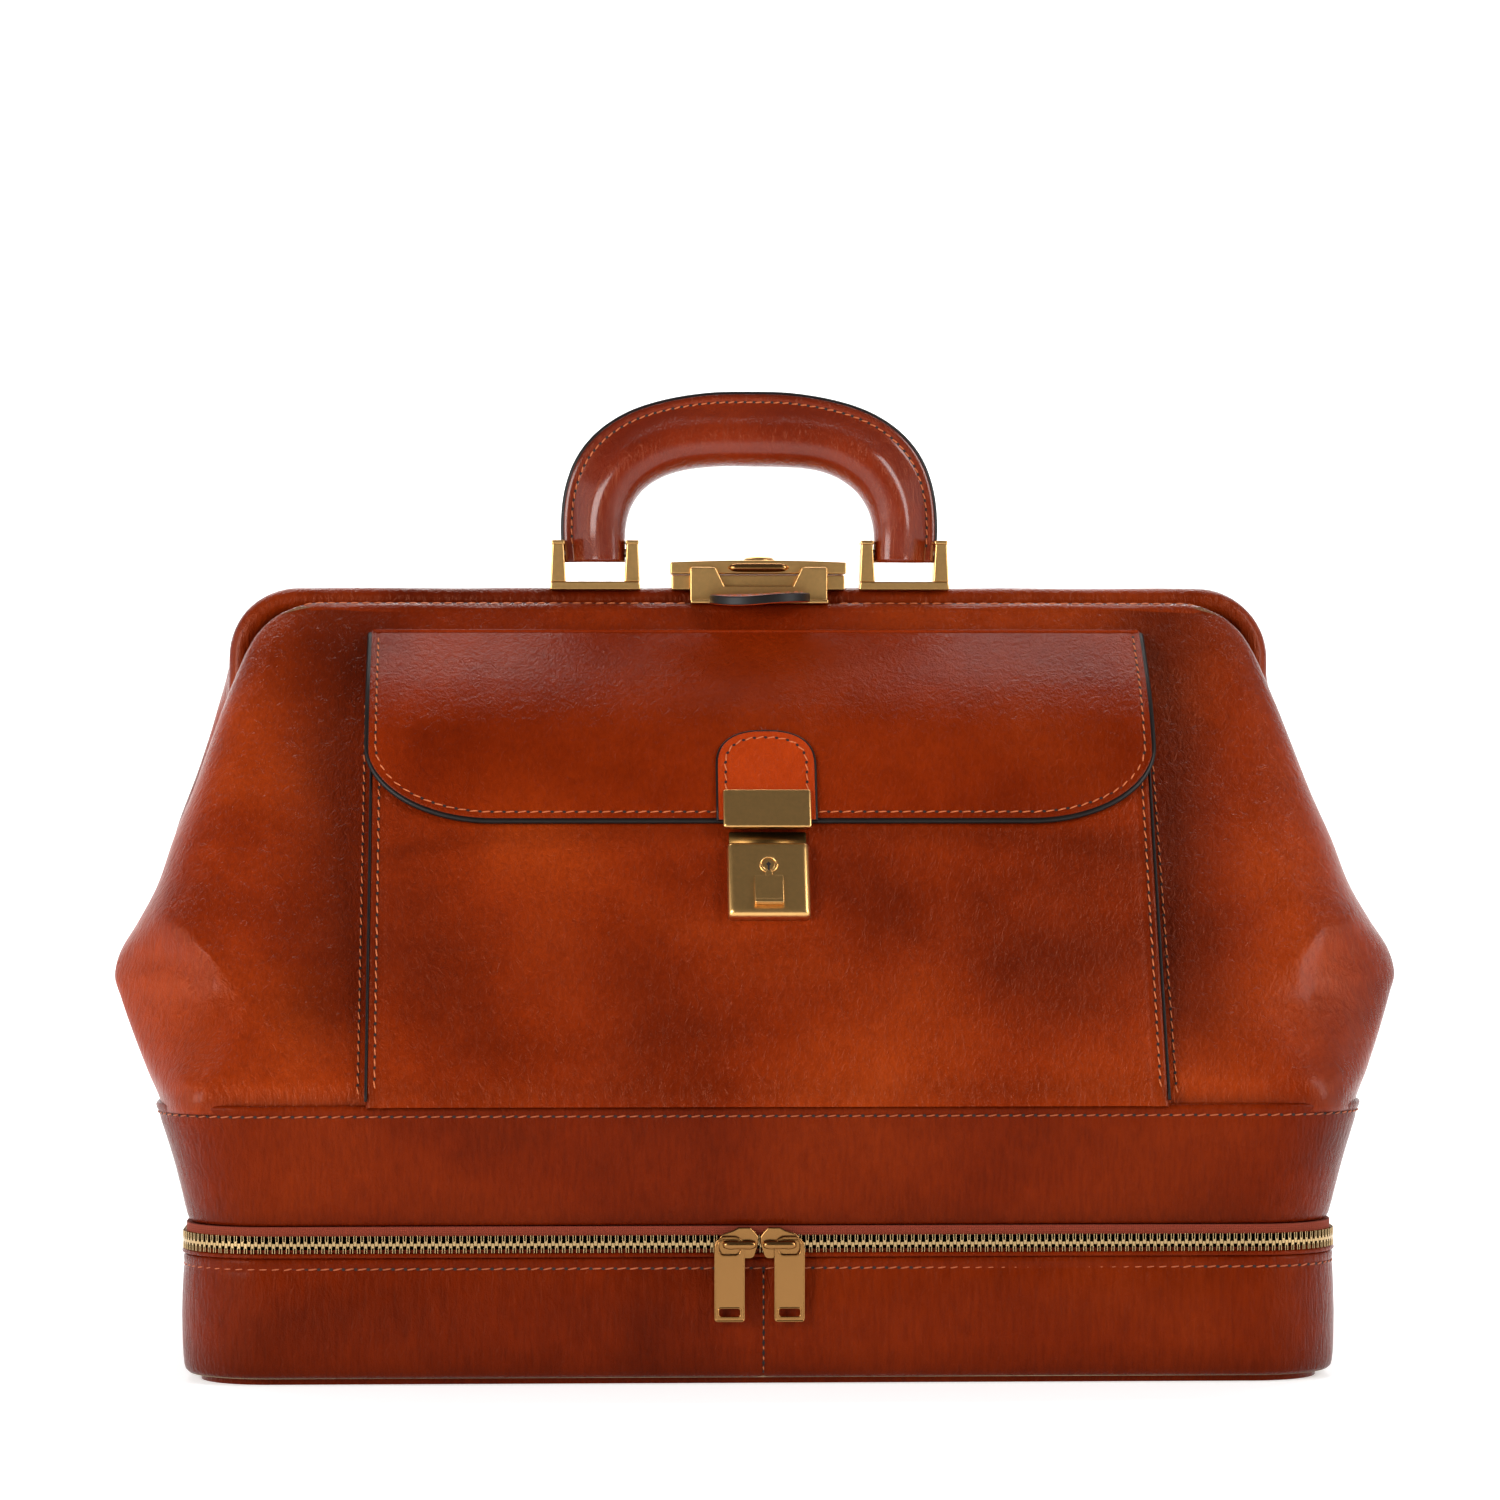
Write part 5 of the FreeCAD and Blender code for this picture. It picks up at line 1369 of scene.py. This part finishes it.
def build_studio():
    pale = Graph("pale_floor").finish(Base_Color=(0.93, 0.93, 0.93, 1), Roughness=0.8, Specular_IOR_Level=0.2,
                                      Emission_Color=(1, 1, 1, 1), Emission_Strength=0.4)
    profile = [(-5.0, 0.0), (1.6, 0.0)]
    profile += [(1.6 + 1.2 * sin(a), 1.2 - 1.2 * cos(a)) for a in np.linspace(0, pi / 2, 16)[1:]]
    profile.append((2.8, 2.3))
    rows = [[(x, y, z) for y, z in profile] for x in (-6.0, 6.0)]
    mesh = bpy.data.meshes.new("floor")
    points = [point for row in rows for point in row]
    mesh.from_pydata(points, [], [face[::-1] for face in grid_faces(2, len(profile))])
    mesh.polygons.foreach_set("use_smooth", [True] * len(mesh.polygons))
    mesh.materials.append(pale)
    new_object("floor", mesh)
    target = (0, 0, 0.16)
    softbox("left_box", (-1.0, -1.0, 0.48), target, 0.7, 0.6, 14)
    softbox("right_box", (1.25, -0.85, 0.8), target, 0.42, 1.2, 16)
    softbox("left_side_box", (-1.5, -0.05, 0.5), target, 1.1, 0.9, 3)
    softbox("right_side_box", (1.5, -0.05, 0.5), target, 1.1, 0.9, 1.5)
    softbox("top_box", (0.0, 1.3, 1.25), target, 1.4, 0.5, 8)
    softbox("back_wash", (0.0, 1.2, 2.4), (0, 2.6, 0.6), 3.0, 1.0, 75)
    world = bpy.data.worlds.new("studio")
    world.use_nodes = True
    nodes, links = world.node_tree.nodes, world.node_tree.links
    direction = nodes.new("ShaderNodeTexCoord")
    parts = nodes.new("ShaderNodeSeparateXYZ")
    fade = nodes.new("ShaderNodeValToRGB")
    links.new(direction.outputs["Generated"], parts.inputs[0])
    links.new(parts.outputs["Z"], fade.inputs[0])
    links.new(fade.outputs[0], nodes["Background"].inputs[0])
    bright, dim = fade.color_ramp.elements
    bright.position, bright.color = 0.10, (0.14, 0.14, 0.14, 1)
    dim.position, dim.color = 0.32, (0.13, 0.13, 0.13, 1)
    bpy.context.scene.world = world
    camera = bpy.data.cameras.new("camera")
    camera.lens = 132.6
    camera.sensor_width = 36.0
    camera.clip_end = 50
    eye = new_object("camera", camera)
    turn = radians(-2.2)
    away = 2.0
    middle = Vector((0.0, 0.0, 0.216))
    eye.location = middle + Vector((sin(turn) * away, -cos(turn) * away, 0))
    eye.rotation_euler = (middle - eye.location).to_track_quat("-Z", "Y").to_euler()
    bpy.context.scene.camera = eye
    bpy.context.scene.view_settings.view_transform = "Standard"


build_studio()
